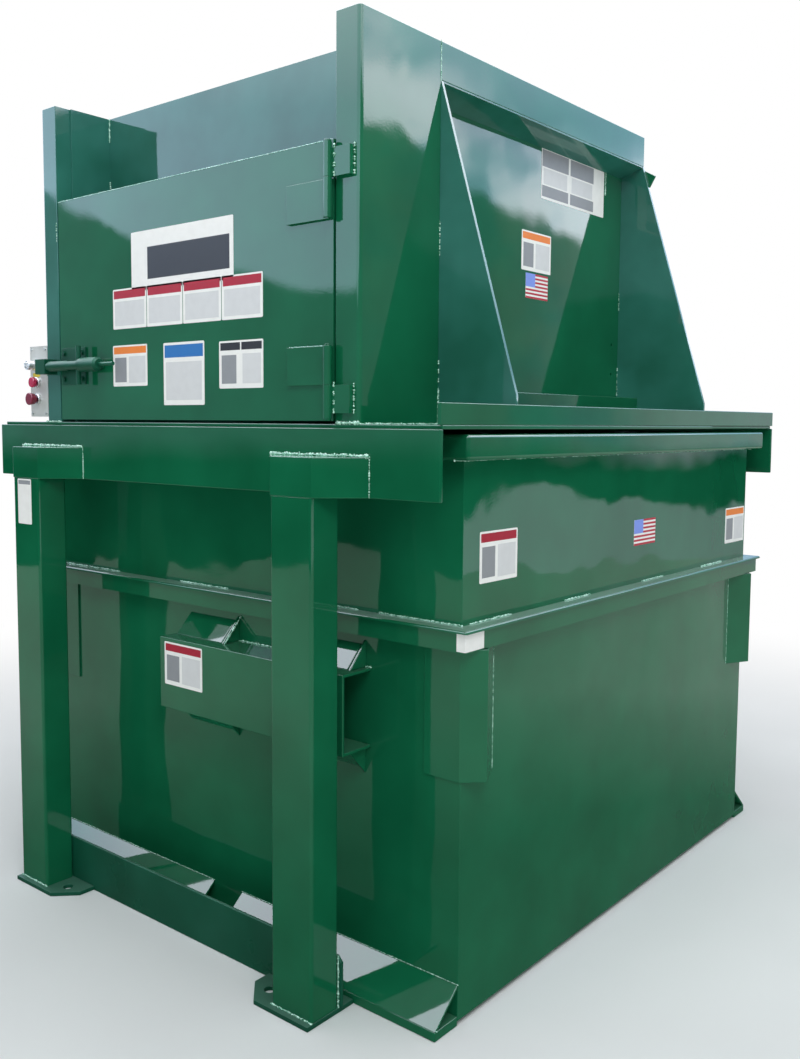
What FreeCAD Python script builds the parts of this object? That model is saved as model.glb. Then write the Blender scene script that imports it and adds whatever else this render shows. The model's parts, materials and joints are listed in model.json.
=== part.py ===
"""Vertical recycling compactor on four legs, over a front-load container.

Run in an empty working folder: every piece is written to parts/NODE.step.
Millimetres, +Z up.  -Y is the loading side with the door, +X is the side the
container leaves by, and the floor is Z = 0.
"""
import os
import re

import FreeCAD
import Part
import Sketcher

doc = FreeCAD.newDocument("Compactor")

# ---------------------------------------------------------------- sizes ----
# Each size that can be chosen by itself, in millimetres and degrees.
SIZES = {
    # container
    "container_width": 1830, "container_length": 1750, "container_front": 905,
    "container_wall": 4, "container_floor": 6, "floor_gap": 12,
    "lip_top": 1503, "lip_height": 63, "lip_depth": 45, "lip_wall": 5,
    "rib_bottom": 972, "rib_height": 58, "rib_depth": 36, "rib_wall": 5,
    "rib_flange": 8, "rib_overhang": 12,
    "ear_out": 50, "ear_return": 96, "ear_bottom": 636, "ear_wall": 6, "ear_wrap": 112,
    "ear_nose_in": 7.4, "ear_nose_back": 1.1, "ear_return_in": 13, "ear_start_in": 8.5,
    "pocket_depth": 113, "pocket_bottom": 664, "pocket_height": 216, "pocket_wall": 8,
    "pocket_length": 750, "pocket_setback": 295,
    "wedge_length": 205, "wedge_rise": 62, "wedge_run": 58, "wedge_cut": 11,
    "wedge_first": 10, "wedge_last": 34, "gusset_gap": 9, "gusset_plate": 8,
    "gusset_rise": 74, "gusset_run": 66,
    "runner_width": 95, "runner_height": 25,
    "skid_rise": 72, "skid_cut": 11, "skid_front_length": 808, "skid_gap": 127,
    # stand
    "side_gap": 138, "beam_end": 945, "beam_overhang": 268, "beam_height": 170,
    "beam_plate": 12, "deck_gap": 12, "deck_plate": 10, "deck_setback": 9, "end_inset": 10,
    "deck_back_edge": 487, "rear_deck_setback": 5, "ledge_height": 52, "ledge_plate": 10,
    "leg_width": 145, "leg_depth": 100, "leg_wall": 6, "leg_left": -642.5,
    "leg_right": 558.5, "leg_corner": 9,
    "bracket_height": 100, "bracket_wall": 8, "bracket_miter": 11.3,
    "foot_plate": 12, "foot_front": 18, "foot_outer": 4, "foot_tab": 115,
    "foot_inner": 54.2, "foot_chamfer": 66, "anchor_radius": 16, "anchor_side": 62,
    "anchor_back": 63, "guide_height": 150, "guide_plate": 10, "guide_overrun": 10,
    "guide_chamfer": 15,
    # hopper
    "hopper_width": 1374, "hopper_depth": 1493, "hopper_height": 999, "hopper_setback": 11,
    "jamb_width": 80, "jamb_depth": 319, "jamb_wall": 8, "jamb_corner": 12,
    "panel_plate": 7, "header_height": 100, "post_depth": 80,
    "plug_radius": 6, "plug_back": 49, "plug_high": 284, "plug_low": 180,
    "wing_plate": 10, "wing_foot": 76, "soffit_plate": 5, "soffit_drop": 27,
    "curb_width": 83, "curb_height": 97, "curb_wall": 6,
    "gusset_in": 19, "gusset_out": 44, "gusset_nose": 36, "gusset_drop": 74,
    "gusset_foot": 22,
    "baffle_setback": 199, "baffle_height": 299, "cover_drop": 12,
    "throat_front": 166, "throat_back": 142,
    # door
    "door_gap": 7, "door_sill": 8, "door_height": 690, "door_depth": 50,
    "door_plate": 6, "door_rib": 200, "panel_gap": 4,
    "hinge_inset": 8.5, "hinge_out": 20, "knuckle_radius": 11, "pin_radius": 6,
    "strap_length": 155, "strap_height": 97, "strap_plate": 10,
    "upper_strap": 497, "lower_strap": 89.5,
    "block_height": 70, "block_width": 42, "block_depth": 16, "block_in": 27.5,
    "block_web": 8, "block_gap": 0.5, "barrel_height": 84, "pin_head_radius": 9,
    "pin_head_height": 5, "pin_tip": 4,
    # latch
    "latch_height": 177, "latch_width": 130, "latch_tall": 115, "latch_plate": 6,
    "latch_inset": 13, "latch_out": 30, "guide_radius": 16, "bolt_radius": 12,
    "guide_tip": 20, "guide_length": 178, "housing_radius": 22, "housing_length": 95,
    "housing_chamfer": 9, "spring_radius": 17, "spring_start": 3, "end_wall": 8,
    "tail_radius": 6, "tail_out": 70, "bolt_tip": 1, "bolt_back": 42,
    "latch_travel": 45, "handle_radius": 8, "handle_length": 120, "handle_inset": 16,
    "slot_spare": 1, "foot_length": 96, "foot_half": 11, "foot_start": 20,
    "keeper_width": 55, "keeper_height": 48, "keeper_depth": 46, "keeper_inset": 8,
    "keeper_corner": 4, "keeper_fit": 0.5,
    "screw_inset": 16, "screw_head": 8.5, "screw_head_height": 6, "screw_shank": 5,
    # control box
    "box_width": 102, "box_height": 232, "box_depth": 85, "box_bottom": 17, "box_wall": 3,
    "box_setback": 4, "cover_plate": 4, "knob_side": 58, "collar_radius": 17,
    "collar_height": 9, "neck_radius": 11, "block_radius": 15, "block_length": 34,
    "stem_radius": 8, "stem_length": 24, "key_height": 168, "stop_height": 113,
    "mushroom_height": 58, "key_radius": 15, "key_length": 30, "key_bow": 18,
    "key_bow_plate": 3, "key_bow_length": 9, "stop_radius": 17, "stop_length": 12,
    "mushroom_radius": 21, "mushroom_neck": 17, "mushroom_length": 22,
    "button_travel": 5, "cover_screw": 4.5, "cover_screw_height": 2.5,
    "cover_screw_inset": 11, "cover_shank": 2.5, "cover_shank_length": 10,
    # packing head and its cylinder
    "pivot_back": 67, "pivot_height": 75, "head_side_gap": 30, "head_wall": 12,
    "hub_radius": 55, "shaft_radius": 30, "shaft_end": 0.5, "head_height": 800,
    "head_reach": 430, "head_heel": 70, "head_back": 45, "head_foot": 20,
    "bay_floor": 62, "bay_heel": 52.7, "bay_reach": 410.7, "bay_open": 70,
    "rib_plate": 10, "lug_gap": 26, "lug_plate": 20, "lug_back": 60,
    "lug_low": 200, "lug_high": 420, "slot_low": 247, "slot_high": 356,
    "slot_front": 14, "slot_back": 40,
    "bearing_gap": 5, "bearing_half": 60, "bearing_top": 65,
    "crank_offset": 269, "rod_angle": 35, "rod_stroke": 396, "crank_pin": 18,
    "crank_pin_half": 60, "eye_radius": 34, "eye_half": 24, "rod_radius": 20,
    "gland_place": 132, "barrel_length": 560, "barrel_radius": 50, "barrel_wall": 8,
    "gland_length": 30, "gland_radius": 46, "barrel_cap": 20, "piston_length": 40,
    "piston_place": 562, "rear_eye_radius": 35, "rear_neck_radius": 28, "rear_pin": 20, "rear_pin_over": 10,
    "tower_gap": 55, "tower_plate": 12, "eye_side_gap": 0.3, "tower_foot_front": 560,
    "tower_foot_back": 1040, "tower_shoulder": 540, "tower_throat": 625,
    "tower_throat_front": 620, "tower_top": 54, "tower_top_front": 28,
    "tower_back_in": 10, "saddle_place": 240, "saddle_length": 60, "saddle_depth": 40,
    "housing_half": 200, "housing_sheet": 3, "housing_height": 895, "housing_clear": 3,
    "window_half": 36, "window_low": 410, "window_height": 85,
    # fits
    "running": 0.05, "loose": 0.3,
}

# What follows from the sizes above.
DERIVED = {
    "side": "container_width / 2",
    "beam_in": "side + side_gap",
    "beam_out": "beam_in + beam_plate",
    "beam_start": "0 - hopper_width / 2 - beam_overhang",
    "deck_bottom": "lip_top + deck_gap",
    "deck_top": "deck_bottom + deck_plate",
    "beam_bottom": "deck_bottom - beam_height",
    "leg_out": "beam_out + leg_depth",
    "guide_in": "beam_out - guide_plate",
    "deck_edge": "beam_out - deck_setback",
    "deck_start": "beam_start + end_inset + deck_setback",
    "ledge_in": "beam_end - ledge_plate",
    "container_back": "container_front - container_length",
    "pocket_end": "container_front - pocket_setback",
    "pocket_start": "pocket_end - pocket_length",
    "pocket_top": "pocket_bottom + pocket_height",
    "pocket_out": "side + pocket_depth",
    "right_foot_in": "leg_right - leg_width / 2 - foot_tab",
    "left_foot_in": "leg_left + leg_width / 2 + foot_tab",
    "hopper_front": "hopper_setback - beam_out",
    "hopper_back": "hopper_front + hopper_depth",
    "hopper_side": "hopper_width / 2",
    "jamb_in": "hopper_side - jamb_width",
    "jamb_back": "hopper_front + jamb_depth",
    "chamber_side": "jamb_in - panel_plate",
    "hopper_top": "deck_top + hopper_height",
    "header_bottom": "hopper_top - header_height",
    "back_in": "hopper_back - panel_plate",
    "wing_in": "jamb_back + wing_plate",
    "wing_far_in": "hopper_back - wing_plate",
    "door_side": "jamb_in - door_gap",
    "door_bottom": "deck_top + door_sill",
    "door_top": "door_bottom + door_height",
    "door_back": "hopper_front + door_depth",
    "panel_front": "door_back + panel_gap",
    "hinge_x": "jamb_in - hinge_inset",
    "hinge_y": "hopper_front - hinge_out",
    "upper_low": "door_bottom + upper_strap",
    "upper_high": "upper_low + strap_height",
    "lower_low": "door_bottom + lower_strap",
    "lower_high": "lower_low + strap_height",
    "baffle_front": "hopper_front + baffle_setback",
    "latch_z": "deck_top + latch_height",
    "latch_y": "hopper_front - latch_out",
    "latch_left": "latch_inset - door_side",
    "latch_right": "latch_left + latch_width",
    "latch_low": "latch_z - latch_tall / 2",
    "latch_high": "latch_z + latch_tall / 2",
    "guide_left": "0 - door_side - guide_tip",
    "guide_right": "guide_left + guide_length",
    "housing_right": "guide_right + housing_length",
    "bolt_left": "guide_left - bolt_tip",
    "handle_x": "guide_right - handle_inset",
    "box_left": "0 - hopper_side - box_width",
    "box_front": "hopper_front + box_setback",
    "box_low": "deck_top + box_bottom",
    "box_high": "box_low + box_height",
    "box_back": "box_front + box_depth",
    "knob_x": "0 - hopper_side - knob_side",
    "key_z": "box_low + key_height",
    "stop_z": "box_low + stop_height",
    "mushroom_z": "box_low + mushroom_height",
    "collar_face": "box_front - collar_height",
    "cap_back": "collar_face - button_travel - keeper_fit",
    "head_half": "chamber_side - head_side_gap",
    "bearing_in": "head_half + bearing_gap",
    "pivot_y": "back_in - pivot_back",
    "pivot_z": "deck_top + pivot_height",
    "rod_back": "cos(rod_angle * 1 deg)",
    "rod_down": "sin(rod_angle * 1 deg)",
    "crank_y": "pivot_y - crank_offset * rod_down + rod_stroke / 2 * rod_back",
    "crank_z": "pivot_z + crank_offset * rod_back + rod_stroke / 2 * rod_down",
    "barrel_end": "gland_place + barrel_length",
    "rear_eye_place": "barrel_end + rear_eye_radius",
    "rear_eye_y": "crank_y + rear_eye_place * rod_back",
    "rear_eye_z": "crank_z + rear_eye_place * rod_down",
    "tower_out": "tower_gap + tower_plate",
    "housing_back": "beam_in - housing_clear",
    "lug_out": "lug_gap + lug_plate",
    "rib_place": "(lug_out + head_half - head_wall - rib_plate) / 2",
}

sheet = doc.addObject("Spreadsheet::Sheet", "Sizes")
row = 0
for name, value in list(SIZES.items()) + [(n, "=" + r) for n, r in DERIVED.items()]:
    row += 1
    sheet.set(f"A{row}", name)
    sheet.set(f"B{row}", str(value))
    sheet.setAlias(f"B{row}", name)
doc.recompute()
KNOWN = set(SIZES) | set(DERIVED)
NODES = []


# -------------------------------------------------------------- helpers ----
def ref(rule):
    """Point the names in a rule at the sheet."""
    return re.sub(r"[a-z_]+", lambda m: ("Sizes." if m.group(0) in KNOWN else "") + m.group(0), rule)


def ready(item):
    """Keep a finished piece to be written out."""
    NODES.append(item)
    return item


def box(label, x0, x1, y0, y1, z0, z1):
    """A block between two values on each axis."""
    item = doc.addObject("Part::Box", label)
    item.setExpression("Length", ref(f"({x1}) - ({x0})"))
    item.setExpression("Width", ref(f"({y1}) - ({y0})"))
    item.setExpression("Height", ref(f"({z1}) - ({z0})"))
    item.setExpression("Placement.Base.x", ref(x0))
    item.setExpression("Placement.Base.y", ref(y0))
    item.setExpression("Placement.Base.z", ref(z0))
    return item


TURNS = {
    "x": FreeCAD.Rotation(FreeCAD.Vector(0, 1, 0), 90),
    "y": FreeCAD.Rotation(FreeCAD.Vector(-1, 0, 0), 90),
    "z": FreeCAD.Rotation(),
}


def rod(label, axis, radius, x, y, z, length, end_radius=None):
    """A round bar, or a cone, from a start point along one axis."""
    item = doc.addObject("Part::Cone" if end_radius else "Part::Cylinder", label)
    if end_radius:
        item.setExpression("Radius1", ref(radius))
        item.setExpression("Radius2", ref(end_radius))
    else:
        item.setExpression("Radius", ref(radius))
    item.setExpression("Height", ref(length))
    item.Placement = FreeCAD.Placement(FreeCAD.Vector(), TURNS[axis])
    item.setExpression("Placement.Base.x", ref(x))
    item.setExpression("Placement.Base.y", ref(y))
    item.setExpression("Placement.Base.z", ref(z))
    return item


def fuse(label, *items):
    """Join pieces into one solid."""
    item = doc.addObject("Part::MultiFuse", label)
    item.Shapes = list(items)
    item.Refine = True
    return item


def cut(label, base, *tools):
    """Take one or more tools away from a base."""
    tool = tools[0] if len(tools) == 1 else fuse(label + "_tools", *tools)
    item = doc.addObject("Part::Cut", label)
    item.Base = base
    item.Tool = tool
    item.Refine = True
    return item


def group(label, *items):
    """Several solids that share one node."""
    item = doc.addObject("Part::Compound", label)
    item.Links = list(items)
    return item


def mirror(label, source, x=0, y=0, z=0, height=None):
    """The same piece on the other side of a plane."""
    item = doc.addObject("Part::Mirroring", label)
    item.Source = source
    item.Normal = FreeCAD.Vector(x, y, z)
    if height:
        item.setExpression("Base.z", ref(height))
    return item


def solid(label):
    """An empty body, to be filled with pads and pockets."""
    item = doc.addObject("PartDesign::Body", label)
    doc.recompute()
    return item


def outline(body, plane, place, loops):
    """A sketch of closed loops, every corner held by named sizes."""
    item = body.newObject("Sketcher::SketchObject", body.Name + "_sketch")
    role = plane + "_Plane"
    origin = [p for p in body.Origin.OriginFeatures if p.Role == role][0]
    item.AttachmentSupport = [(origin, "")]
    item.MapMode = "FlatFace"
    item.setExpression("AttachmentOffset.Base.z", ref(place))
    rules = []
    links = []
    for turn, loop in enumerate(loops):
        start = item.GeometryCount
        spread = turn + 1
        if isinstance(loop, tuple):
            item.addGeometry(Part.Circle(FreeCAD.Vector(), FreeCAD.Vector(0, 0, 1), spread), False)
            links.append(Sketcher.Constraint("DistanceX", -1, 1, start, 3, 0))
            links.append(Sketcher.Constraint("DistanceY", -1, 1, start, 3, 0))
            links.append(Sketcher.Constraint("Radius", start, spread))
            rules += list(loop)
            continue
        count = len(loop)
        corners = ring(count, spread)
        for k in range(count):
            item.addGeometry(Part.LineSegment(corners[k], corners[(k + 1) % count]), False)
        for k in range(count):
            links.append(Sketcher.Constraint("Coincident", start + k, 2, start + (k + 1) % count, 1))
            rules.append(None)
            links.append(Sketcher.Constraint("DistanceX", -1, 1, start + k, 1, corners[k].x))
            links.append(Sketcher.Constraint("DistanceY", -1, 1, start + k, 1, corners[k].y))
            rules += list(loop[k])
    item.addConstraint(links)
    for k, rule in enumerate(rules):
        if rule is not None:
            item.setExpression(f"Constraints[{k}]", ref(rule))
    return item


def ring(count, spread):
    """Starting corners for a loop, before its sizes move them."""
    turn = FreeCAD.Rotation(FreeCAD.Vector(0, 0, 1), 360.0 / count)
    point = FreeCAD.Vector(spread, 0, 0)
    corners = []
    for _ in range(count):
        corners.append(point)
        point = turn.multVec(point)
    return corners


def pad(body, plane, low, high, *loops):
    """Add material between two values along the plane's axis."""
    place = f"0 - ({high})" if plane == "XZ" else low
    profile = outline(body, plane, place, loops)
    item = body.newObject("PartDesign::Pad", body.Name + "_pad")
    item.Profile = profile
    item.setExpression("Length", ref(f"({high}) - ({low})"))
    doc.recompute()
    return item


def pocket(body, plane, low, high, *loops):
    """Take material away between two values along the plane's axis."""
    place = f"0 - ({low})" if plane == "XZ" else high
    before = body.Shape.Volume
    profile = outline(body, plane, place, loops)
    item = body.newObject("PartDesign::Pocket", body.Name + "_pocket")
    item.Profile = profile
    item.setExpression("Length", ref(f"({high}) - ({low})"))
    doc.recompute()
    if body.Shape.Volume >= before:
        raise ValueError("the pocket took nothing from " + body.Label)
    return item


def rounded(body, radius, wanted):
    """Round the upright edges that pass a test on their middle point."""
    names = []
    for number, edge in enumerate(body.Shape.Edges, 1):
        ends = [v.Point for v in edge.Vertexes]
        upright = len(ends) == 2 and abs(ends[0].x - ends[1].x) + abs(ends[0].y - ends[1].y) < 1e-6
        if upright and wanted(edge.CenterOfMass):
            names.append(f"Edge{number}")
    last = body.Tip
    item = body.newObject("PartDesign::Fillet", body.Name + "_round")
    item.Base = (last, names)
    item.setExpression("Radius", ref(radius))
    doc.recompute()
    return item


def rect(a0, a1, b0, b1):
    """The four corners of a rectangle."""
    return [(a0, b0), (a1, b0), (a1, b1), (a0, b1)]


def place(body, y, z, angle=None):
    """Put a body's own frame at a point of the model."""
    if angle:
        body.Placement = FreeCAD.Placement(FreeCAD.Vector(), FreeCAD.Rotation(FreeCAD.Vector(-1, 0, 0), 55))
        body.setExpression("Placement.Rotation.Angle", ref(angle))
    body.setExpression("Placement.Base.y", ref(y))
    body.setExpression("Placement.Base.z", ref(z))


def plate(label, plane, low, high, *loops):
    """A flat piece of one outline."""
    item = solid(label)
    pad(item, plane, low, high, *loops)
    return item


# ------------------------------------------------------------ container ----
shell = solid("container_shell")
pad(shell, "XY", "floor_gap", "lip_top", rect("container_back", "container_front", "0 - side", "side"))
pocket(shell, "XY", "floor_gap + container_floor", "lip_top",
       rect("container_back + container_wall", "container_front - container_wall",
            "container_wall - side", "side - container_wall"))
ready(shell)


def band(body, low, high, proud):
    """A ring of one depth round the container."""
    pad(body, "XY", low, high,
        rect(f"container_back - ({proud})", f"container_front + {proud}",
             f"0 - side - ({proud})", f"side + {proud}"),
        rect("container_back", "container_front", "0 - side", "side"))


def hollow(body, low, high, proud, wall):
    """The open inside of a ring, next to the container's wall."""
    pocket(body, "XY", low, high,
           rect(f"container_back - {proud} + {wall}", f"container_front + {proud} - {wall}",
                f"{wall} - side - {proud}", f"side + {proud} - {wall}"),
           rect(f"container_back + {wall}", f"container_front - {wall}",
                f"{wall} - side", f"side - {wall}"))


lip = solid("top_lip")
band(lip, "lip_top - lip_height", "lip_top", "lip_depth")
hollow(lip, "lip_top - lip_height + lip_wall", "lip_top - lip_wall", "lip_depth", "lip_wall")
ready(lip)

rib = solid("rib_channel")
band(rib, "rib_bottom", "rib_bottom + rib_height - rib_flange", "rib_depth")
hollow(rib, "rib_bottom + rib_wall", "rib_bottom + rib_height - rib_flange - rib_wall",
       "rib_depth", "rib_wall")
flange = solid("rib_flange_ring")
band(flange, "rib_bottom + rib_height - rib_flange", "rib_bottom + rib_height",
     "rib_depth + rib_overhang")
ready(fuse("mid_rib", rib, flange))

ear = plate("ear", "XY", "ear_bottom", "rib_bottom", [
    ("container_front - ear_wrap", "0 - side - ear_wall"),
    ("container_front", "0 - side - ear_wall"),
    ("container_front + ear_out", "ear_out - side - ear_wall"),
    ("container_front", "ear_out + ear_return - side - ear_wall"),
    ("container_front", "ear_out + ear_return - side - ear_wall - ear_return_in"),
    ("container_front + ear_out - ear_nose_in", "ear_out - side - ear_wall + ear_nose_back"),
    ("container_front", "0 - side - ear_wall + ear_start_in"),
    ("container_front", "0 - side"),
    ("container_front - ear_wrap", "0 - side")])
ear_far = mirror("ear_far", ear, y=1)
ear_back = plate("ear_back", "XY", "ear_bottom", "rib_bottom", [
    ("container_back + ear_wrap", "0 - side - ear_wall"),
    ("container_back", "0 - side - ear_wall"),
    ("container_back - ear_out", "ear_out - side - ear_wall"),
    ("container_back", "ear_out + ear_return - side - ear_wall"),
    ("container_back", "ear_out + ear_return - side - ear_wall - ear_return_in"),
    ("container_back - ear_out + ear_nose_in", "ear_out - side - ear_wall + ear_nose_back"),
    ("container_back", "0 - side - ear_wall + ear_start_in"),
    ("container_back", "0 - side"),
    ("container_back + ear_wrap", "0 - side")])
ear_back_far = mirror("ear_back_far", ear_back, y=1)
ready(group("corner_ears", ear, ear_far, ear_back, ear_back_far))

fork_front = plate("fork_pocket_front", "YZ", "pocket_start", "pocket_end", [
    ("0 - side", "pocket_top"), ("0 - pocket_out", "pocket_top"),
    ("0 - pocket_out", "pocket_bottom"), ("0 - side", "pocket_bottom"),
    ("0 - side", "pocket_bottom + pocket_wall"),
    ("pocket_wall - pocket_out", "pocket_bottom + pocket_wall"),
    ("pocket_wall - pocket_out", "pocket_top - pocket_wall"),
    ("0 - side", "pocket_top - pocket_wall")])
ready(fork_front)
ready(mirror("fork_pocket_rear", fork_front, y=1))

WEDGE = [("0 - side", "pocket_top + wedge_rise"), ("0 - side - wedge_run", "pocket_top"),
         ("wedge_cut - side - wedge_run", "pocket_top"),
         ("0 - side", "pocket_top + wedge_rise - wedge_cut")]
GUSSET = [("0 - side", "pocket_top + gusset_rise"), ("0 - side - gusset_run", "pocket_top"),
          ("0 - side", "pocket_top")]
wedges = []
for count, start in enumerate(["pocket_start + wedge_first", "pocket_end - wedge_last - wedge_length"]):
    stop = f"{start} + wedge_length"
    wedges.append(plate(f"wedge_{count}", "YZ", start, stop, WEDGE))
    wedges.append(plate(f"gusset_{count}", "YZ", f"{stop} + gusset_gap",
                        f"{stop} + gusset_gap + gusset_plate", GUSSET))
wedges_over = group("wedges_over", *wedges)
wedges_under = mirror("wedges_under", wedges_over, z=1, height="pocket_bottom + pocket_height / 2")
wedges_near = group("wedges_near", wedges_over, wedges_under)
ready(group("pocket_wedges", wedges_near, mirror("wedges_away", wedges_near, y=1)))

runner = box("runner", "container_back", "container_front", "0 - side - runner_width", "0 - side",
             "0", "runner_height")
ready(group("runners", runner, mirror("runner_far", runner, y=1)))

SKID = [("0 - side - runner_width", "runner_height"),
        ("skid_cut - side - runner_width", "runner_height"),
        ("0 - side", "runner_height + skid_rise"),
        ("0 - side", "runner_height + skid_rise + skid_cut")]
skid_right = plate("skid_right", "YZ", "container_front - skid_front_length", "container_front", SKID)
skid_left = plate("skid_left", "YZ", "container_back",
                  "container_front - skid_front_length - skid_gap", SKID)
skids = group("skids_near", skid_right, skid_left)
ready(group("skid_plates", skids, mirror("skids_far", skids, y=1)))

# ---------------------------------------------------------------- stand ----
front_beam = ready(box("front_beam", "beam_start", "beam_end", "0 - beam_out", "0 - beam_in",
                       "beam_bottom", "deck_bottom"))
ready(mirror("back_beam", front_beam, y=1))
ready(box("end_beam", "beam_start + end_inset", "beam_start + end_inset + beam_plate", "0 - beam_in", "beam_in",
          "beam_bottom", "deck_bottom"))
ready(box("ledge_plate", "ledge_in", "beam_end", "0 - beam_out", "beam_out",
          "deck_top", "deck_top + ledge_height"))

deck = solid("deck_plate")
pad(deck, "XY", "deck_bottom", "deck_top",
    rect("deck_start", "beam_end", "0 - deck_edge", "deck_back_edge"),
    rect("0 - chamber_side", "chamber_side", "throat_front - deck_edge", "back_in - throat_back"))
ready(deck)
ready(box("rear_deck", "deck_start", "beam_end - rear_deck_setback",
          "deck_back_edge", "deck_edge", "deck_bottom", "deck_top"))


def leg(label, centre):
    """One hollow leg on the -Y side."""
    item = solid(label)
    pad(item, "XY", "foot_plate", "beam_bottom",
        rect(f"{centre} - leg_width / 2", f"{centre} + leg_width / 2", "0 - leg_out", "0 - beam_out"))
    rounded(item, "leg_corner", lambda p: True)
    pocket(item, "XY", "foot_plate", "beam_bottom",
           rect(f"{centre} - leg_width / 2 + leg_wall", f"{centre} + leg_width / 2 - leg_wall",
                "leg_wall - leg_out", "0 - beam_out - leg_wall"))
    return item


def bracket(label, centre):
    """The flared head that joins a leg to its beam."""
    item = solid(label)
    pad(item, "XY", "beam_bottom", "beam_bottom + bracket_height",
        [(f"{centre} - leg_width / 2", "0 - leg_out"), (f"{centre} + leg_width / 2", "0 - leg_out"),
         (f"{centre} + leg_width / 2 + leg_depth", "0 - beam_out"),
         (f"{centre} - leg_width / 2 - leg_depth", "0 - beam_out")])
    half = "leg_width / 2 + bracket_wall - bracket_miter"
    pocket(item, "XY", "beam_bottom", "beam_bottom + bracket_height - bracket_wall",
           [(f"{centre} - ({half})", "bracket_wall - leg_out"),
            (f"{centre} + {half}", "bracket_wall - leg_out"),
            (f"{centre} + {half} + leg_depth", "bracket_wall - beam_out"),
            (f"{centre} - ({half}) - leg_depth", "bracket_wall - beam_out")])
    return item


def four(label, maker):
    """A leg piece at both places, on both sides."""
    near = group(label + "_near", maker(label + "_left", "leg_left"), maker(label + "_right", "leg_right"))
    return ready(group(label, near, mirror(label + "_far", near, y=1)))


four("legs", leg)
four("leg_brackets", bracket)

foot_right = plate(
    "foot_right", "XY", "0", "foot_plate",
    [("right_foot_in + foot_chamfer", "0 - leg_out - foot_front"),
     ("leg_right + leg_width / 2 + foot_outer", "0 - leg_out - foot_front"),
     ("leg_right + leg_width / 2 + foot_outer", "foot_inner - beam_out"),
     ("right_foot_in", "foot_inner - beam_out"),
     ("right_foot_in", "foot_chamfer - leg_out - foot_front")],
    ("right_foot_in + anchor_side", "anchor_back - leg_out - foot_front", "anchor_radius"))
foot_left = plate(
    "foot_left", "XY", "0", "foot_plate",
    [("left_foot_in - foot_chamfer", "0 - leg_out - foot_front"),
     ("leg_left - leg_width / 2 - foot_outer", "0 - leg_out - foot_front"),
     ("leg_left - leg_width / 2 - foot_outer", "foot_inner - beam_out"),
     ("left_foot_in", "foot_inner - beam_out"),
     ("left_foot_in", "foot_chamfer - leg_out - foot_front")],
    ("left_foot_in - anchor_side", "anchor_back - leg_out - foot_front", "anchor_radius"))
feet_near = group("feet_near", foot_right, foot_left)
ready(group("base_plates", feet_near, mirror("feet_far", feet_near, y=1)))

guide_front = plate("guide_front", "XZ", "0 - beam_out", "0 - guide_in", [
    ("leg_left - leg_width / 2", "foot_plate"), ("left_foot_in", "foot_plate"),
    ("left_foot_in", "0"), ("right_foot_in", "0"), ("right_foot_in", "foot_plate"),
    ("leg_right + leg_width / 2 + guide_overrun", "foot_plate"),
    ("leg_right + leg_width / 2 + guide_overrun", "guide_height - guide_chamfer"),
    ("leg_right + leg_width / 2 + guide_overrun - guide_chamfer", "guide_height"),
    ("leg_left - leg_width / 2", "guide_height")])
ready(guide_front)
ready(mirror("guide_rear", guide_front, y=1))

# --------------------------------------------------------------- hopper ----
jamb = solid("jamb_right")
pad(jamb, "XY", "deck_top", "hopper_top", rect("jamb_in", "hopper_side", "hopper_front", "jamb_back"))
rounded(jamb, "jamb_corner", lambda p: p.x > 640 and p.y < -1000)
pocket(jamb, "XY", "deck_top", "hopper_top - jamb_wall",
       rect("jamb_in + jamb_wall", "hopper_side - jamb_wall",
            "hopper_front + jamb_wall", "jamb_back - jamb_wall"))
ready(jamb)
ready(mirror("jamb_left", jamb, x=1))

panel = box("panel", "chamber_side", "jamb_in", "panel_front", "back_in", "deck_top", "hopper_top")
upper_plug = rod("upper_plug", "x", "plug_radius", "chamber_side", "back_in - plug_back",
                 "deck_top + plug_high", "panel_plate")
lower_plug = rod("lower_plug", "x", "plug_radius", "chamber_side", "back_in - plug_back",
                 "deck_top + plug_low", "panel_plate")
ready(cut("side_panel_right", panel, upper_plug, lower_plug))
ready(mirror("side_panel_left", box("panel_twin", "chamber_side", "jamb_in", "panel_front", "back_in",
                                    "deck_top", "hopper_top"), x=1))
ready(plate("back_panel", "XZ", "back_in", "hopper_back",
            rect("0 - jamb_in", "jamb_in", "deck_top", "hopper_top"),
            rect("0 - window_half", "window_half", "deck_top + window_low",
                 "deck_top + window_low + window_height")))

header = solid("header_right")
pad(header, "XZ", "jamb_back", "hopper_back", rect("jamb_in", "hopper_side", "header_bottom", "hopper_top"))
pocket(header, "XZ", "jamb_back", "hopper_back - jamb_wall",
       rect("jamb_in + jamb_wall", "hopper_side - jamb_wall",
            "header_bottom + jamb_wall", "hopper_top - jamb_wall"))
ready(header)
ready(mirror("header_left", header, x=1))

ready(plate("soffit", "XZ", "wing_in", "wing_far_in", [
    ("jamb_in", "header_bottom - soffit_drop"), ("hopper_side", "header_bottom"),
    ("hopper_side", "header_bottom - soffit_plate"),
    ("jamb_in", "header_bottom - soffit_drop - soffit_plate")]))
ready(plate("curb", "XZ", "wing_in", "wing_far_in", [
    ("jamb_in", "deck_top"), ("jamb_in", "deck_top + curb_height"),
    ("jamb_in + curb_width", "deck_top + curb_height"), ("jamb_in + curb_width", "deck_top"),
    ("jamb_in + curb_width - curb_wall", "deck_top"),
    ("jamb_in + curb_width - curb_wall", "deck_top + curb_height - curb_wall"),
    ("jamb_in + curb_wall", "deck_top + curb_height - curb_wall"), ("jamb_in + curb_wall", "deck_top")]))
WING = [("jamb_in", "deck_top"), ("ledge_in", "deck_top"), ("ledge_in", "deck_top + wing_foot"),
        ("hopper_side", "header_bottom"), ("jamb_in", "header_bottom")]
ready(plate("wing_near", "XZ", "jamb_back", "wing_in", WING))
ready(plate("wing_far", "XZ", "wing_far_in", "hopper_back", WING))
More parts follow.
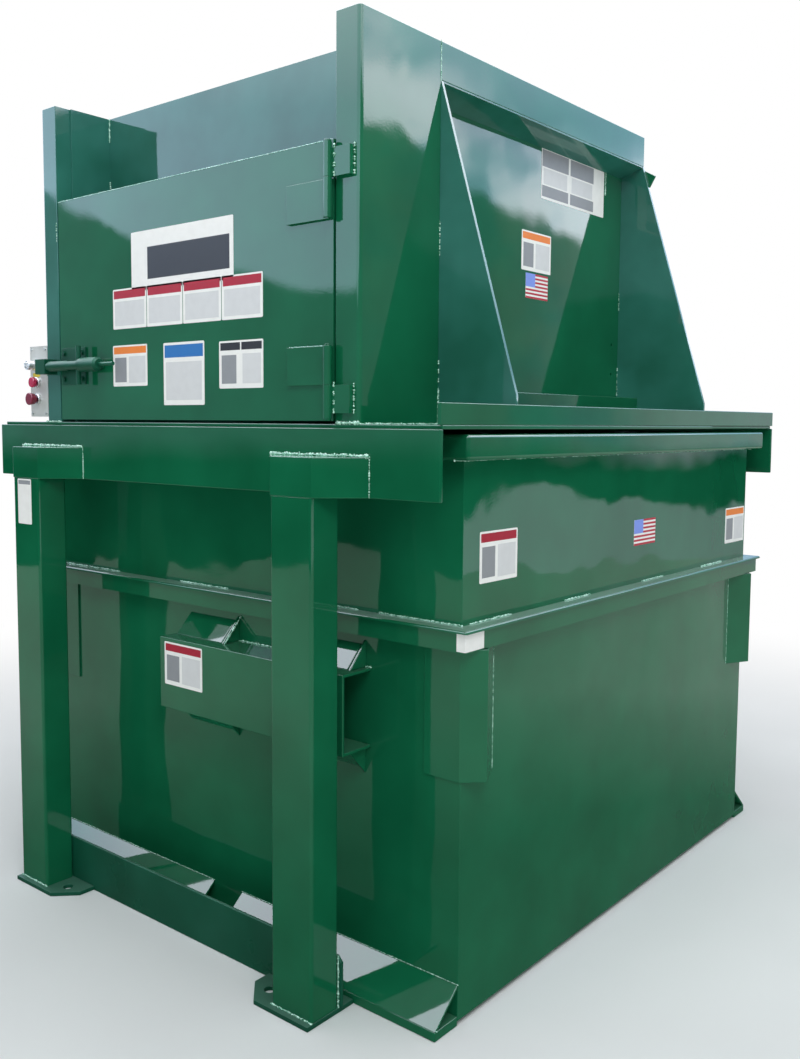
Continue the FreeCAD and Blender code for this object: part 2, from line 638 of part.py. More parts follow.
ready(plate("wing_gusset", "XZ", "hopper_back", "hopper_back + gusset_plate", [
    ("hopper_side - gusset_in", "header_bottom"), ("hopper_side + gusset_out", "header_bottom - gusset_nose"),
    ("hopper_side + gusset_foot", "header_bottom - gusset_drop")]))

post = solid("post_left")
pad(post, "XY", "deck_top", "header_bottom",
    rect("0 - hopper_side", "0 - jamb_in", "hopper_back - post_depth", "hopper_back"))
pocket(post, "XY", "deck_top", "header_bottom",
       rect("jamb_wall - hopper_side", "0 - jamb_in - jamb_wall",
            "hopper_back - post_depth + jamb_wall", "hopper_back - jamb_wall"))
ready(post)
ready(box("baffle", "0 - chamber_side", "chamber_side", "baffle_front", "baffle_front + panel_plate",
          "hopper_top - baffle_height", "hopper_top"))
ready(box("top_cover", "0 - chamber_side", "chamber_side", "baffle_front + panel_plate", "back_in",
          "hopper_top - cover_drop - panel_plate", "hopper_top - cover_drop"))

# ---------------------------------------------------------------- hinge ----
# Each fixed half is a block on the jamb, with a web to a barrel over the gap.
blocks = []
for name, end, low in (("upper", "upper_high + block_gap", "upper_high + block_gap"),
                       ("lower", "lower_low - block_gap - block_height",
                        "lower_low - block_gap - barrel_height")):
    block = solid(name + "_block")
    pad(block, "XY", end, f"{end} + block_height", [
        ("hinge_x", "hopper_front - block_depth"),
        ("hinge_x + block_in + block_width", "hopper_front - block_depth"),
        ("hinge_x + block_in + block_width", "hopper_front"),
        ("hinge_x + block_in", "hopper_front"),
        ("hinge_x + block_in", "hopper_front - block_depth + block_web"),
        ("hinge_x", "hopper_front - block_depth + block_web")])
    pad(block, "XY", low, f"{low} + barrel_height", ("hinge_x", "hinge_y", "knuckle_radius"))
    pocket(block, "XY", low, f"{low} + barrel_height", ("hinge_x", "hinge_y", "pin_radius + running"))
    blocks.append(block)
ready(group("hinge_blocks", *blocks))
PIN = "strap_height + pin_tip + block_gap + barrel_height"
upper_pin = rod("upper_pin", "z", "pin_radius", "hinge_x", "hinge_y", "upper_low - pin_tip", PIN)
upper_head = rod("upper_head", "z", "pin_head_radius", "hinge_x", "hinge_y",
                 "upper_high + block_gap + barrel_height", "pin_head_height")
lower_pin = rod("lower_pin", "z", "pin_radius", "hinge_x", "hinge_y",
                "lower_low - block_gap - barrel_height", PIN)
lower_head = rod("lower_head", "z", "pin_head_radius", "hinge_x", "hinge_y",
                 "lower_low - block_gap - barrel_height - pin_head_height", "pin_head_height")
ready(group("hinge_pins", fuse("upper_hinge_pin", upper_pin, upper_head),
            fuse("lower_hinge_pin", lower_pin, lower_head)))

# ----------------------------------------------------------------- door ----
door = solid("door_panel")
pad(door, "XZ", "hopper_front", "door_back", rect("0 - door_side", "door_side", "door_bottom", "door_top"))
BAYS = [("door_plate - door_side", "0 - door_rib - door_plate"), ("0 - door_rib", "door_rib"),
        ("door_rib + door_plate", "door_side - door_plate")]
pocket(door, "XZ", "hopper_front + door_plate", "door_back",
       *[rect(a, b, "door_bottom + door_plate", "door_top - door_plate") for a, b in BAYS])
SCREWS = [(x, z) for x in ("latch_left + screw_inset", "latch_right - screw_inset")
          for z in ("latch_low + screw_inset", "latch_high - screw_inset")]
pocket(door, "XZ", "hopper_front", "hopper_front + door_plate",
       *[(x, z, "screw_shank + running") for x, z in SCREWS])
ready(door)

straps = []
for name, low, high in (("upper", "upper_low", "upper_high"), ("lower", "lower_low", "lower_high")):
    strap = solid(name + "_strap")
    pad(strap, "XY", low, high, [
        ("door_side - strap_length", "hopper_front - strap_plate"),
        ("door_side - strap_length", "hopper_front"), ("hinge_x", "hopper_front"),
        ("hinge_x", "hinge_y"), ("hinge_x - knuckle_radius", "hinge_y"),
        ("hinge_x - knuckle_radius", "hopper_front - strap_plate")])
    pad(strap, "XY", low, high, ("hinge_x", "hinge_y", "knuckle_radius"))
    pocket(strap, "XY", low, high, ("hinge_x", "hinge_y", "pin_radius + running"))
    straps.append(strap)
ready(group("hinge_straps", *straps))

# ---------------------------------------------------------------- latch ----
ready(plate("latch_plate", "XZ", "hopper_front - latch_plate", "hopper_front",
            rect("latch_left", "latch_right", "latch_low", "latch_high"),
            *[(x, z, "screw_shank + running") for x, z in SCREWS]))
bolts = []
for count, (x, z) in enumerate(SCREWS):
    bolts.append(fuse(
        f"screw_{count}",
        rod(f"head_{count}", "y", "screw_head", x, "hopper_front - latch_plate - screw_head_height", z,
            "screw_head_height"),
        rod(f"shank_{count}", "y", "screw_shank", x, "hopper_front - latch_plate - screw_head_height", z,
            "2 * screw_head_height + latch_plate + door_plate"),
        rod(f"nut_{count}", "y", "screw_head", x, "hopper_front + door_plate", z, "screw_head_height")))
ready(group("latch_bolts", *bolts))

tube = rod("tube", "x", "guide_radius", "guide_left", "latch_y", "latch_z", "guide_length")
housing = rod("housing", "x", "housing_radius", "guide_right", "latch_y", "latch_z",
              "housing_length - housing_chamfer")
nose = rod("nose", "x", "housing_radius", "housing_right - housing_chamfer", "latch_y", "latch_z",
           "housing_chamfer", "guide_radius")
foot = box("foot", "latch_left + foot_start", "latch_left + foot_start + foot_length", "latch_y",
           "hopper_front - latch_plate", "latch_z - foot_half", "latch_z + foot_half")
bore = rod("bore", "x", "bolt_radius + running", "guide_left", "latch_y", "latch_z", "guide_length")
room = rod("room", "x", "spring_radius", "guide_right + spring_start", "latch_y", "latch_z",
           "housing_length - spring_start - end_wall")
step = rod("step", "x", "bolt_radius + running", "guide_right", "latch_y", "latch_z", "spring_start")
tail_hole = rod("tail_hole", "x", "tail_radius + running", "guide_right", "latch_y", "latch_z", "housing_length")
handle_slot = box("handle_slot", "handle_x - handle_radius - latch_travel - slot_spare",
                  "handle_x + handle_radius + slot_spare", "latch_y - handle_radius - slot_spare",
                  "latch_y + handle_radius + slot_spare", "latch_z - housing_radius",
                  "latch_z + housing_radius")
ready(cut("latch_guide", fuse("guide_blank", tube, housing, nose, foot),
          bore, room, step, tail_hole, handle_slot))

keeper = solid("latch_keeper")
pad(keeper, "XZ", "hopper_front - keeper_depth", "hopper_front",
    rect("keeper_inset - hopper_side", "keeper_inset - hopper_side + keeper_width",
         "latch_z - keeper_height / 2", "latch_z + keeper_height / 2"))
pocket(keeper, "YZ", "keeper_inset - hopper_side", "keeper_inset - hopper_side + keeper_width",
       ("latch_y", "latch_z", "bolt_radius + keeper_fit"))
ready(keeper)

ready(fuse("latch_bolt",
           rod("bolt_rod", "x", "bolt_radius", "bolt_left", "latch_y", "latch_z",
               "guide_length + bolt_tip + bolt_back"),
           rod("bolt_tail", "x", "tail_radius", "bolt_left", "latch_y", "latch_z",
               "guide_length + bolt_tip + housing_length + tail_out"),
           rod("handle", "z", "handle_radius", "handle_x", "latch_y", "latch_z - handle_length / 2",
               "handle_length")))

# ---------------------------------------------------------- control box ----
case = solid("control_box")
pad(case, "XZ", "box_front + cover_plate", "box_back",
    rect("box_left", "0 - hopper_side", "box_low", "box_high"))
pocket(case, "XZ", "box_front + cover_plate", "box_back - box_wall",
       rect("box_left + box_wall", "0 - hopper_side - box_wall", "box_low + box_wall", "box_high - box_wall"))
ready(case)
KNOBS = ["key_z", "stop_z", "mushroom_z"]
CORNERS = [(x, z) for x in ("box_left + cover_screw_inset", "0 - hopper_side - cover_screw_inset")
           for z in ("box_low + cover_screw_inset", "box_high - cover_screw_inset")]
ready(plate("control_cover", "XZ", "box_front", "box_front + cover_plate",
            rect("box_left", "0 - hopper_side", "box_low", "box_high"),
            *[("knob_x", z, "neck_radius + running") for z in KNOBS],
            *[(x, z, "cover_shank + running") for x, z in CORNERS]))
cover_screws = []
for count, (x, z) in enumerate(CORNERS):
    cover_screws.append(fuse(
        f"cover_screw_{count}",
        rod(f"cover_head_{count}", "y", "cover_screw", x, "box_front - cover_screw_height", z,
            "cover_screw_height"),
        rod(f"cover_shank_{count}", "y", "cover_shank", x, "box_front - cover_screw_height", z,
            "cover_shank_length")))
ready(group("cover_screws", *cover_screws))
collars = []
for name in KNOBS:
    face = rod(name + "_collar", "y", "collar_radius", "knob_x", "collar_face", name, "collar_height")
    neck = rod(name + "_neck", "y", "neck_radius", "knob_x", "collar_face", name,
               "collar_height + cover_plate")
    block = rod(name + "_contact", "y", "block_radius", "knob_x", "box_front + cover_plate", name,
                "block_length")
    way = rod(name + "_way", "y", "stem_radius + running", "knob_x", "collar_face", name,
              "collar_height + cover_plate + block_length - box_wall")
    collars.append(cut(name + "_holder", fuse(name + "_blank", face, neck, block), way))
ready(group("button_collars", *collars))

STEM = "collar_height + cover_plate + stem_length"
key_barrel = rod("key_barrel", "y", "key_radius", "knob_x", "collar_face - keeper_fit - key_length", "key_z",
                 "key_length")
key_stem = rod("key_stem", "y", "stem_radius", "knob_x", "collar_face - keeper_fit - key_length", "key_z",
               f"key_length + keeper_fit + {STEM}")
key_bow = box("key_bow_blade", "knob_x - key_bow_plate / 2", "knob_x + key_bow_plate / 2",
              "collar_face - keeper_fit - key_length - key_bow_length",
              "collar_face - keeper_fit - key_length", "key_z - key_bow / 2", "key_z + key_bow / 2")
ready(fuse("key", key_barrel, key_stem, key_bow))
ready(fuse("stop_button",
           rod("stop_cap", "y", "stop_radius", "knob_x", "cap_back - stop_length", "stop_z", "stop_length"),
           rod("stop_stem", "y", "stem_radius", "knob_x", "cap_back - stop_length", "stop_z",
               f"stop_length + button_travel + keeper_fit + {STEM}")))
ready(fuse("mushroom_button",
           rod("mushroom_cap", "y", "mushroom_radius", "knob_x", "cap_back - mushroom_length", "mushroom_z",
               "mushroom_length", "mushroom_neck"),
           rod("mushroom_stem", "y", "stem_radius", "knob_x", "cap_back - mushroom_length", "mushroom_z",
               f"mushroom_length + button_travel + keeper_fit + {STEM}")))

# --------------------------------------------------------- packing head ----
head = solid("packing_head")
pad(head, "YZ", "0 - head_half", "head_half",
    [("0 - head_heel", "head_heel"), ("0 - head_reach", "head_height"), ("head_back", "head_height"),
     ("head_back", "head_foot"), ("0 - head_foot", "head_foot")])
pad(head, "YZ", "0 - head_half", "head_half", ("0", "0", "hub_radius"))
for low, high in (("head_wall - head_half", "0 - rib_place - rib_plate"),
                  ("0 - rib_place", "0 - lug_out"), ("0 - lug_gap", "lug_gap"),
                  ("lug_out", "rib_place"), ("rib_place + rib_plate", "head_half - head_wall")):
    pocket(head, "YZ", low, high,
           [("0 - bay_heel", "bay_floor"), ("0 - bay_reach", "head_height - head_wall"),
            ("bay_open", "head_height - head_wall"), ("bay_open", "bay_floor")])
for low, high in (("lug_gap", "lug_out"), ("0 - lug_out", "0 - lug_gap")):
    pad(head, "YZ", low, high, rect("0 - slot_front", "lug_back", "lug_low", "lug_high"))
pocket(head, "YZ", "0 - lug_out", "lug_out", rect("0 - slot_front", "slot_back", "slot_low", "slot_high"))
pocket(head, "YZ", "0 - head_half", "head_half", ("0", "0", "shaft_radius + running"))
place(head, "pivot_y", "pivot_z")
ready(head)
ready(rod("head_shaft", "x", "shaft_radius", "shaft_end - chamber_side", "pivot_y", "pivot_z",
          "2 * chamber_side - 2 * shaft_end"))
bearing = solid("bearing")
pad(bearing, "YZ", "bearing_in", "chamber_side",
    rect("pivot_y - bearing_half", "pivot_y + bearing_half", "deck_top", "pivot_z + bearing_top"))
pocket(bearing, "YZ", "bearing_in", "chamber_side", ("pivot_y", "pivot_z", "shaft_radius + running"))
ready(group("bearing_plates", bearing, mirror("bearing_twin", bearing, x=1)))

# Along the cylinder's own line: Z runs from the crank pin up to the rear eye.
TILT = "90 - rod_angle"
ram = solid("cylinder_rod")
pad(ram, "YZ", "0 - eye_half", "eye_half", ("0", "0", "eye_radius"))
pad(ram, "XY", "eye_radius / 2", "piston_place + piston_length", ("0", "0", "rod_radius"))
pad(ram, "XY", "piston_place", "piston_place + piston_length",
    ("0", "0", "barrel_radius - barrel_wall - running"))
pocket(ram, "YZ", "0 - eye_half", "eye_half", ("0", "0", "crank_pin + running"))
place(ram, "crank_y", "crank_z", TILT)
ready(ram)
ready(rod("rod_pin", "x", "crank_pin", "0 - crank_pin_half", "crank_y", "crank_z", "2 * crank_pin_half"))

barrel = solid("cylinder_barrel")
pad(barrel, "XY", "gland_place", "barrel_end", ("0", "0", "barrel_radius"))
pad(barrel, "YZ", "eye_side_gap - tower_gap", "tower_gap - eye_side_gap",
    ("0", "rear_eye_place", "rear_eye_radius"))
pad(barrel, "XY", "barrel_end - barrel_cap / 2", "rear_eye_place", ("0", "0", "rear_neck_radius"))
pocket(barrel, "XY", "gland_place + gland_length", "barrel_end - barrel_cap",
       ("0", "0", "barrel_radius - barrel_wall"))
pocket(barrel, "XY", "gland_place", "gland_place + gland_length", ("0", "0", "rod_radius + running"))
pocket(barrel, "YZ", "0 - tower_gap", "tower_gap", ("0", "rear_eye_place", "rear_pin + running"))
place(barrel, "crank_y", "crank_z", TILT)
ready(barrel)
ready(rod("barrel_pin", "x", "rear_pin", "0 - tower_out - rear_pin_over", "rear_eye_y", "rear_eye_z",
          "2 * (tower_out + rear_pin_over)"))

tower = solid("tower")
pad(tower, "YZ", "tower_gap", "tower_out",
    [("tower_foot_front", "deck_top"), ("tower_foot_back", "deck_top"),
     ("tower_foot_back - tower_back_in", "rear_eye_z"),
     ("rear_eye_y + tower_top_front", "rear_eye_z + tower_top"),
     ("rear_eye_y - tower_top_front", "rear_eye_z + tower_top"),
     ("tower_throat_front", "deck_top + tower_throat"), ("tower_foot_front", "deck_top + tower_shoulder")])
pocket(tower, "YZ", "tower_gap", "tower_out", ("rear_eye_y", "rear_eye_z", "rear_pin + running"))
saddle = solid("saddle")
pad(saddle, "YZ", "0 - tower_gap", "tower_gap",
    rect("barrel_radius", "barrel_radius + saddle_depth", "saddle_place", "saddle_place + saddle_length"))
place(saddle, "crank_y", "crank_z", TILT)
ready(group("tower_plates", tower, mirror("tower_twin", tower, x=1), saddle))

cowl = solid("rear_housing")
pad(cowl, "XY", "deck_top", "deck_top + housing_height",
    rect("0 - housing_half", "housing_half", "hopper_back", "housing_back"))
pocket(cowl, "XY", "deck_top", "deck_top + housing_height - housing_sheet",
       rect("housing_sheet - housing_half", "housing_half - housing_sheet",
            "hopper_back - housing_sheet", "housing_back - housing_sheet"))
ready(cowl)

# --------------------------------------------------------------- export ----
doc.recompute()
for item in doc.Objects:
    if "Invalid" in item.State or "Error" in item.State:
        raise ValueError(f"{item.Label} did not build: {item.State}")
os.makedirs("parts", exist_ok=True)
for item in NODES:
    shape = item.Shape
    name = item.Label
    if shape.isNull() or not shape.isValid() or shape.Volume <= 0:
        raise ValueError(name + " has no valid shape")
    box_of = shape.BoundBox
    print(f"{name:20s} {len(shape.Solids)} solids  x {box_of.XMin:8.1f} {box_of.XMax:8.1f}"
          f"  y {box_of.YMin:8.1f} {box_of.YMax:8.1f}  z {box_of.ZMin:8.1f} {box_of.ZMax:8.1f}")
    shape.exportStep(f"parts/{name}.step")
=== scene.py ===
"""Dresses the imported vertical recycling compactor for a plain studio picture.

The frame gives every solid.  This file gives them rolled edges, gloss enamel,
weld beads, hexagon bolts, blank vinyl stickers and the stage round them.
Lengths in the tables are millimetres in the frame's own axes.
"""

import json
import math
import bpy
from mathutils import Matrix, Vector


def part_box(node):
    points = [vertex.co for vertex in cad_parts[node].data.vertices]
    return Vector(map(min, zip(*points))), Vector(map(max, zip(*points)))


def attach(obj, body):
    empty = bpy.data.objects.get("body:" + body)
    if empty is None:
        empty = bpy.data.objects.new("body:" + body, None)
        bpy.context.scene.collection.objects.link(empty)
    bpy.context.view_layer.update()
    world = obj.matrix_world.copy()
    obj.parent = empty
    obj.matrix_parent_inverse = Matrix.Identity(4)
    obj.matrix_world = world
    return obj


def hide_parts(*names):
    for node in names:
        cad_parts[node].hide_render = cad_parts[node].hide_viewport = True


bl_info = {
    "name": "Vertical compactor dressing",
    "version": (1, 0, 0),
    "blender": (4, 5, 0),
    "location": "View3D > Sidebar > Compactor",
    "description": "Enamel, welds, stickers and studio for the vertical compactor",
    "category": "Object",
}

import bmesh
import bpy
from bpy.props import FloatProperty, FloatVectorProperty, IntProperty, PointerProperty
from mathutils import Vector

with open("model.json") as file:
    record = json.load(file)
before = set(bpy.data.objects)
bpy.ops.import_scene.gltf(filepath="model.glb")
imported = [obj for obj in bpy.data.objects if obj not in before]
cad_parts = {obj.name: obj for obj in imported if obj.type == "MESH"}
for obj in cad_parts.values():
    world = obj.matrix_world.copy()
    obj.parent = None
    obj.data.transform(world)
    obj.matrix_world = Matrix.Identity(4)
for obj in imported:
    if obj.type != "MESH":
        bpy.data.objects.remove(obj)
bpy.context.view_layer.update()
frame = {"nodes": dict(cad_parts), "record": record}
MM = 0.001
BODIES = frame["record"]["behaviour"]["bodies"]
BODY = {node: body for body, nodes in BODIES.items() for node in nodes}

# Faces that stickers, bolts and welds lie on, in millimetres.
LEG_FRONT = -1165.0
BEAM_FRONT = -1065.0
LATCH_FRONT = -1060.0
HOPPER_FRONT = -1054.0
POCKET_FRONT = -1028.0
EAR_FRONT = -951.0
TUB_FRONT = -915.0
HOPPER_SIDE = 607.0
TUB_SIDE = 905.0
EAR_SIDE = 941.0
LEG_CENTRES = (-642.5, 558.5)
LEG_HALF = 72.5
BRACKET_HALF = 172.5

# Angles between faces: under the first they are one face, over the second an edge is real.
FLAT = math.radians(0.6)
SHARP = math.radians(30)
# Distances, in metres, at which points are one point, and at which an edge lies on a box.
SAME_POINT = 1e-6
ON_BOX = 1e-5

# Fasteners: how far their middles lie in from a corner, how far their washers' middles stand
# proud, and where the nuts lie, in millimetres; radii and heights in metres.
BOLT_INSET = 8.5
BOLT_PROUD = 0.7
BOLT_RADIUS = 0.0078
BOLT_HEIGHT = 0.0055
NUT_FACE = -1043.0
NUT_HEIGHT = 0.0045
SCREW_INSET = 11
SCREW_PROUD = 0.3
SCREW_RADIUS = 0.0036
SCREW_HEIGHT = 0.0024
SCREW_SIDES = 16

# The tag under the control box's key, in millimetres.
TAG_PLACE = (-772.0, 1673.7)
TAG_SIZE = (40.4, 12.3)
TAG_CORNER = 3
TAG_THICK = 1.2


# ------------------------------------------------------------- settings ----
def linear(code):
    """An sRGB hex colour as the linear values that Blender mixes."""
    parts = [int(code[i:i + 2], 16) / 255 for i in (1, 3, 5)]
    return tuple(c / 12.92 if c <= 0.04045 else ((c + 0.055) / 1.055) ** 2.4 for c in parts)


class CompactorFinish(bpy.types.PropertyGroup):
    """Colours and surface sizes of the paint and the stickers."""
    enamel: FloatVectorProperty(
        name="Enamel", description="Colour of the gloss green enamel", subtype="COLOR",
        default=linear("#136846"), min=0, max=1)
    enamel_deep: FloatVectorProperty(
        name="Deep enamel", description="Where the coat lies thicker", subtype="COLOR",
        default=linear("#0e5a3b"), min=0, max=1)
    gloss: FloatProperty(
        name="Roughness", description="Roughness of the enamel", default=0.035, min=0, max=1,
        subtype="FACTOR")
    waviness: FloatProperty(
        name="Panel waviness", description="Height of the sheet's waves between its welds",
        default=0.0011, unit="LENGTH")
    # Dust here also sets a painted sky sheen: the pale mix on faces that look up stands in for
    # light from above as well as dust.
    dust: FloatProperty(
        name="Dust", description="How much dust lies on a ledge that looks up", default=0.5,
        min=0, max=1, subtype="FACTOR")
    box_grey: FloatVectorProperty(
        name="Control box", description="Colour of the control box's powder coat", subtype="COLOR",
        default=linear("#bfc4c1"), min=0, max=1)
    vinyl: FloatVectorProperty(
        name="Vinyl", description="Ground colour of the stickers", subtype="COLOR",
        default=linear("#eef1ee"), min=0, max=1)


class CompactorSizes(bpy.types.PropertyGroup):
    """Sizes of the pieces that this file adds."""
    edge: FloatProperty(
        name="Edge radius", description="Radius on sheared and folded edges", default=0.0022,
        unit="LENGTH")
    bead: FloatProperty(
        name="Weld bead", description="Half width of a weld bead", default=0.0034, unit="LENGTH")
    ripple: FloatProperty(
        name="Weld ripple", description="Distance between the ripples of a bead", default=0.0044,
        unit="LENGTH")
    sticker: FloatProperty(
        name="Sticker thickness", description="How far a sticker stands proud", default=0.0005,
        unit="LENGTH")
    bolt_sides: IntProperty(name="Bolt sides", description="Flats on a bolt head", default=6, min=3)


def finish():
    """The paint settings."""
    return bpy.context.scene.compactor_finish


def sizes():
    """The size settings."""
    return bpy.context.scene.compactor_sizes


# ------------------------------------------------------------ materials ----
def add(tree, kind, links=(), **settings):
    """A node with its settings, each link fed by a node, a socket or a plain value."""
    item = tree.nodes.new(kind)
    for name, value in settings.items():
        if name.startswith("in_"):
            item.inputs[name[3:].replace("_", " ")].default_value = value
        else:
            setattr(item, name, value)
    for source, target in links:
        source = source.outputs[0] if isinstance(source, bpy.types.Node) else source
        if isinstance(source, bpy.types.NodeSocket):
            tree.links.new(source, item.inputs[target])
        else:
            item.inputs[target].default_value = source
    return item


def maths(tree, operation, *values):
    """Arithmetic on nodes, sockets and plain numbers, one to each input in turn."""
    links = [(value, place) for place, value in enumerate(values)]
    return add(tree, "ShaderNodeMath", links, operation=operation)


def mapped(tree, value, low, high, to_low=0.0, to_high=1.0, smooth=False):
    """A value's run from low to high, spread over another range."""
    links = [(value, "Value"), (low, "From Min"), (high, "From Max"), (to_low, "To Min"),
             (to_high, "To Max")]
    return add(tree, "ShaderNodeMapRange", links,
               interpolation_type="SMOOTHSTEP" if smooth else "LINEAR")


def blank(name):
    """An empty material with its shader and output."""
    material = bpy.data.materials.new(name)
    material.use_nodes = True
    tree = material.node_tree
    tree.nodes.clear()
    shader = add(tree, "ShaderNodeBsdfPrincipled")
    add(tree, "ShaderNodeOutputMaterial", [(shader.outputs[0], "Surface")])
    where = add(tree, "ShaderNodeTexCoord").outputs["Object"]
    return material, tree, shader, where


def noise(tree, where, millimetres, detail, stretch=(1, 1, 1)):
    """Cloudy variation whose blotches measure so many millimetres."""
    place = add(tree, "ShaderNodeMapping", [(where, "Vector")], in_Scale=stretch)
    cloud = add(tree, "ShaderNodeTexNoise", [(place, "Vector")], in_Scale=1000 / millimetres,
                in_Detail=detail)
    return cloud.outputs["Fac"]


def blended(tree, factor, first, second, low, high):
    """One colour into another as a pattern rises from low to high."""
    ramp = mapped(tree, factor, low, high)
    mix = add(tree, "ShaderNodeMix", [(ramp, "Factor"), ((*first, 1), "A"), ((*second, 1), "B")],
              data_type="RGBA")
    return mix.outputs["Result"]


def bumped(tree, shader, layers):
    """Stack height patterns, each given as (pattern, height in metres)."""
    last = None
    for pattern, height in layers:
        bump = add(tree, "ShaderNodeBump", [(pattern, "Height")], in_Distance=height,
                   in_Strength=1.0)
        if last:
            tree.links.new(last, bump.inputs["Normal"])
        last = bump.outputs[0]
    tree.links.new(last, shader.inputs["Normal"])


def gloss_enamel(name, wavy, deep, light, gloss, dust=0.08, shine=0.5):
    """Sprayed alkyd enamel: wet-looking, waves between welds, faces that look up paled by dust and
    a painted sky sheen.
    """
    material, tree, shader, where = blank(name)
    cloud = noise(tree, where, 260, 3)
    colour = blended(tree, cloud, deep, light, 0.3, 0.7)
    # Faces that look up are mixed towards pale teal: partly dust, partly a painted sky sheen
    # standing in for light from above.
    normal = add(tree, "ShaderNodeTexCoord").outputs["Normal"]
    facing = add(tree, "ShaderNodeSeparateXYZ", [(normal, 0)])
    upward_dust_and_sheen = mapped(tree, facing.outputs["Z"], 0.85, 1.0, 0.0, dust)
    dust_and_sheen_colour = (*linear("#a9c4ba"), 1)
    dusty = add(tree, "ShaderNodeMix", [(upward_dust_and_sheen, "Factor"), (colour, "A"), (dust_and_sheen_colour, "B")],
                data_type="RGBA")
    tree.links.new(dusty.outputs["Result"], shader.inputs["Base Color"])
    film = noise(tree, where, 140, 4)
    rough = mapped(tree, film, 0.3, 0.75, gloss * 0.75, gloss * 1.5)
    tree.links.new(rough.outputs[0], shader.inputs["Roughness"])
    shader.inputs["IOR"].default_value = 1.45
    shader.inputs["Specular IOR Level"].default_value = shine
    wave = noise(tree, where, 520, 1)
    ripple = noise(tree, where, 170, 1)
    peel = noise(tree, where, 7, 1)
    bumped(tree, shader, [(wave, wavy * 4), (ripple, wavy * 0.5), (peel, 0.00002)])
    return material


def inner_enamel():
    """The same enamel inside, scuffed dull by the waste that slides over it."""
    material, tree, shader, where = blank("scuffed_green_enamel")
    scuff = noise(tree, where, 30, 5, (1, 1, 6))
    colour = blended(tree, scuff, linear("#0a3d28"), linear("#2c4f40"), 0.45, 0.8)
    tree.links.new(colour, shader.inputs["Base Color"])
    rough = mapped(tree, scuff, 0.0, 1.0, 0.3, 0.6)
    tree.links.new(rough.outputs[0], shader.inputs["Roughness"])
    bumped(tree, shader, [(scuff, 0.0002)])
    return material


def painted_weld(name, dark, light):
    """A bead or an edge under enamel, spotted from its own colour to near white: the pale spots are
    painted glints.
    """
    material, tree, shader, where = blank(name)
    # The grain's pale spots are painted glints.
    grain = noise(tree, where, 9, 3)
    colour = blended(tree, grain, dark, light, 0.35, 0.62)
    tree.links.new(colour, shader.inputs["Base Color"])
    shader.inputs["Roughness"].default_value = 0.22
    shader.inputs["IOR"].default_value = 1.5
    bumped(tree, shader, [(grain, 0.0003)])
    return material


def powder_coat(name, colour):
    """Baked powder coat: even, slightly pebbled, half gloss."""
    material, tree, shader, where = blank(name)
    pebble = noise(tree, where, 2.5, 2)
    dust = noise(tree, where, 45, 3)
    shade = tuple(c * 0.86 for c in colour)
    tree.links.new(blended(tree, dust, shade, colour, 0.3, 0.6), shader.inputs["Base Color"])
    shader.inputs["Roughness"].default_value = 0.4
    bumped(tree, shader, [(pebble, 0.00006)])
    return material


def metal(name, light, dark, roughness, grain_mm, stretch=(1, 1, 1)):
    """Bare or plated metal with the lines of how it was worked."""
    material, tree, shader, where = blank(name)
    lines = noise(tree, where, grain_mm, 4, stretch)
    tree.links.new(blended(tree, lines, dark, light, 0.3, 0.7), shader.inputs["Base Color"])
    shader.inputs["Metallic"].default_value = 1.0
    rough = mapped(tree, lines, 0.0, 1.0, roughness * 0.7, roughness * 1.3)
    tree.links.new(rough.outputs[0], shader.inputs["Roughness"])
    bumped(tree, shader, [(lines, 0.00003)])
    return material


def moulded(name, colour, roughness):
    """Injection-moulded plastic with a fine sparkle of mould texture."""
    material, tree, shader, where = blank(name)
    flow = noise(tree, where, 12, 2)
    tree.links.new(blended(tree, flow, tuple(c * 0.8 for c in colour), colour, 0.3, 0.6),
                   shader.inputs["Base Color"])
    shader.inputs["Roughness"].default_value = roughness
    bumped(tree, shader, [(noise(tree, where, 0.8, 1), 0.00002)])
    return material


def vinyl(name, colour):
    """Printed vinyl under clear film, a little dusty."""
    material, tree, shader, where = blank(name)
    dust = noise(tree, where, 25, 4)
    tree.links.new(blended(tree, dust, tuple(c * 0.96 for c in colour), colour, 0.3, 0.6),
                   shader.inputs["Base Color"])
    shader.inputs["Roughness"].default_value = 0.45
    shader.inputs["Specular IOR Level"].default_value = 0.2
    bumped(tree, shader, [(noise(tree, where, 18, 2), 0.00006)])
    return material


MATERIALS = {}


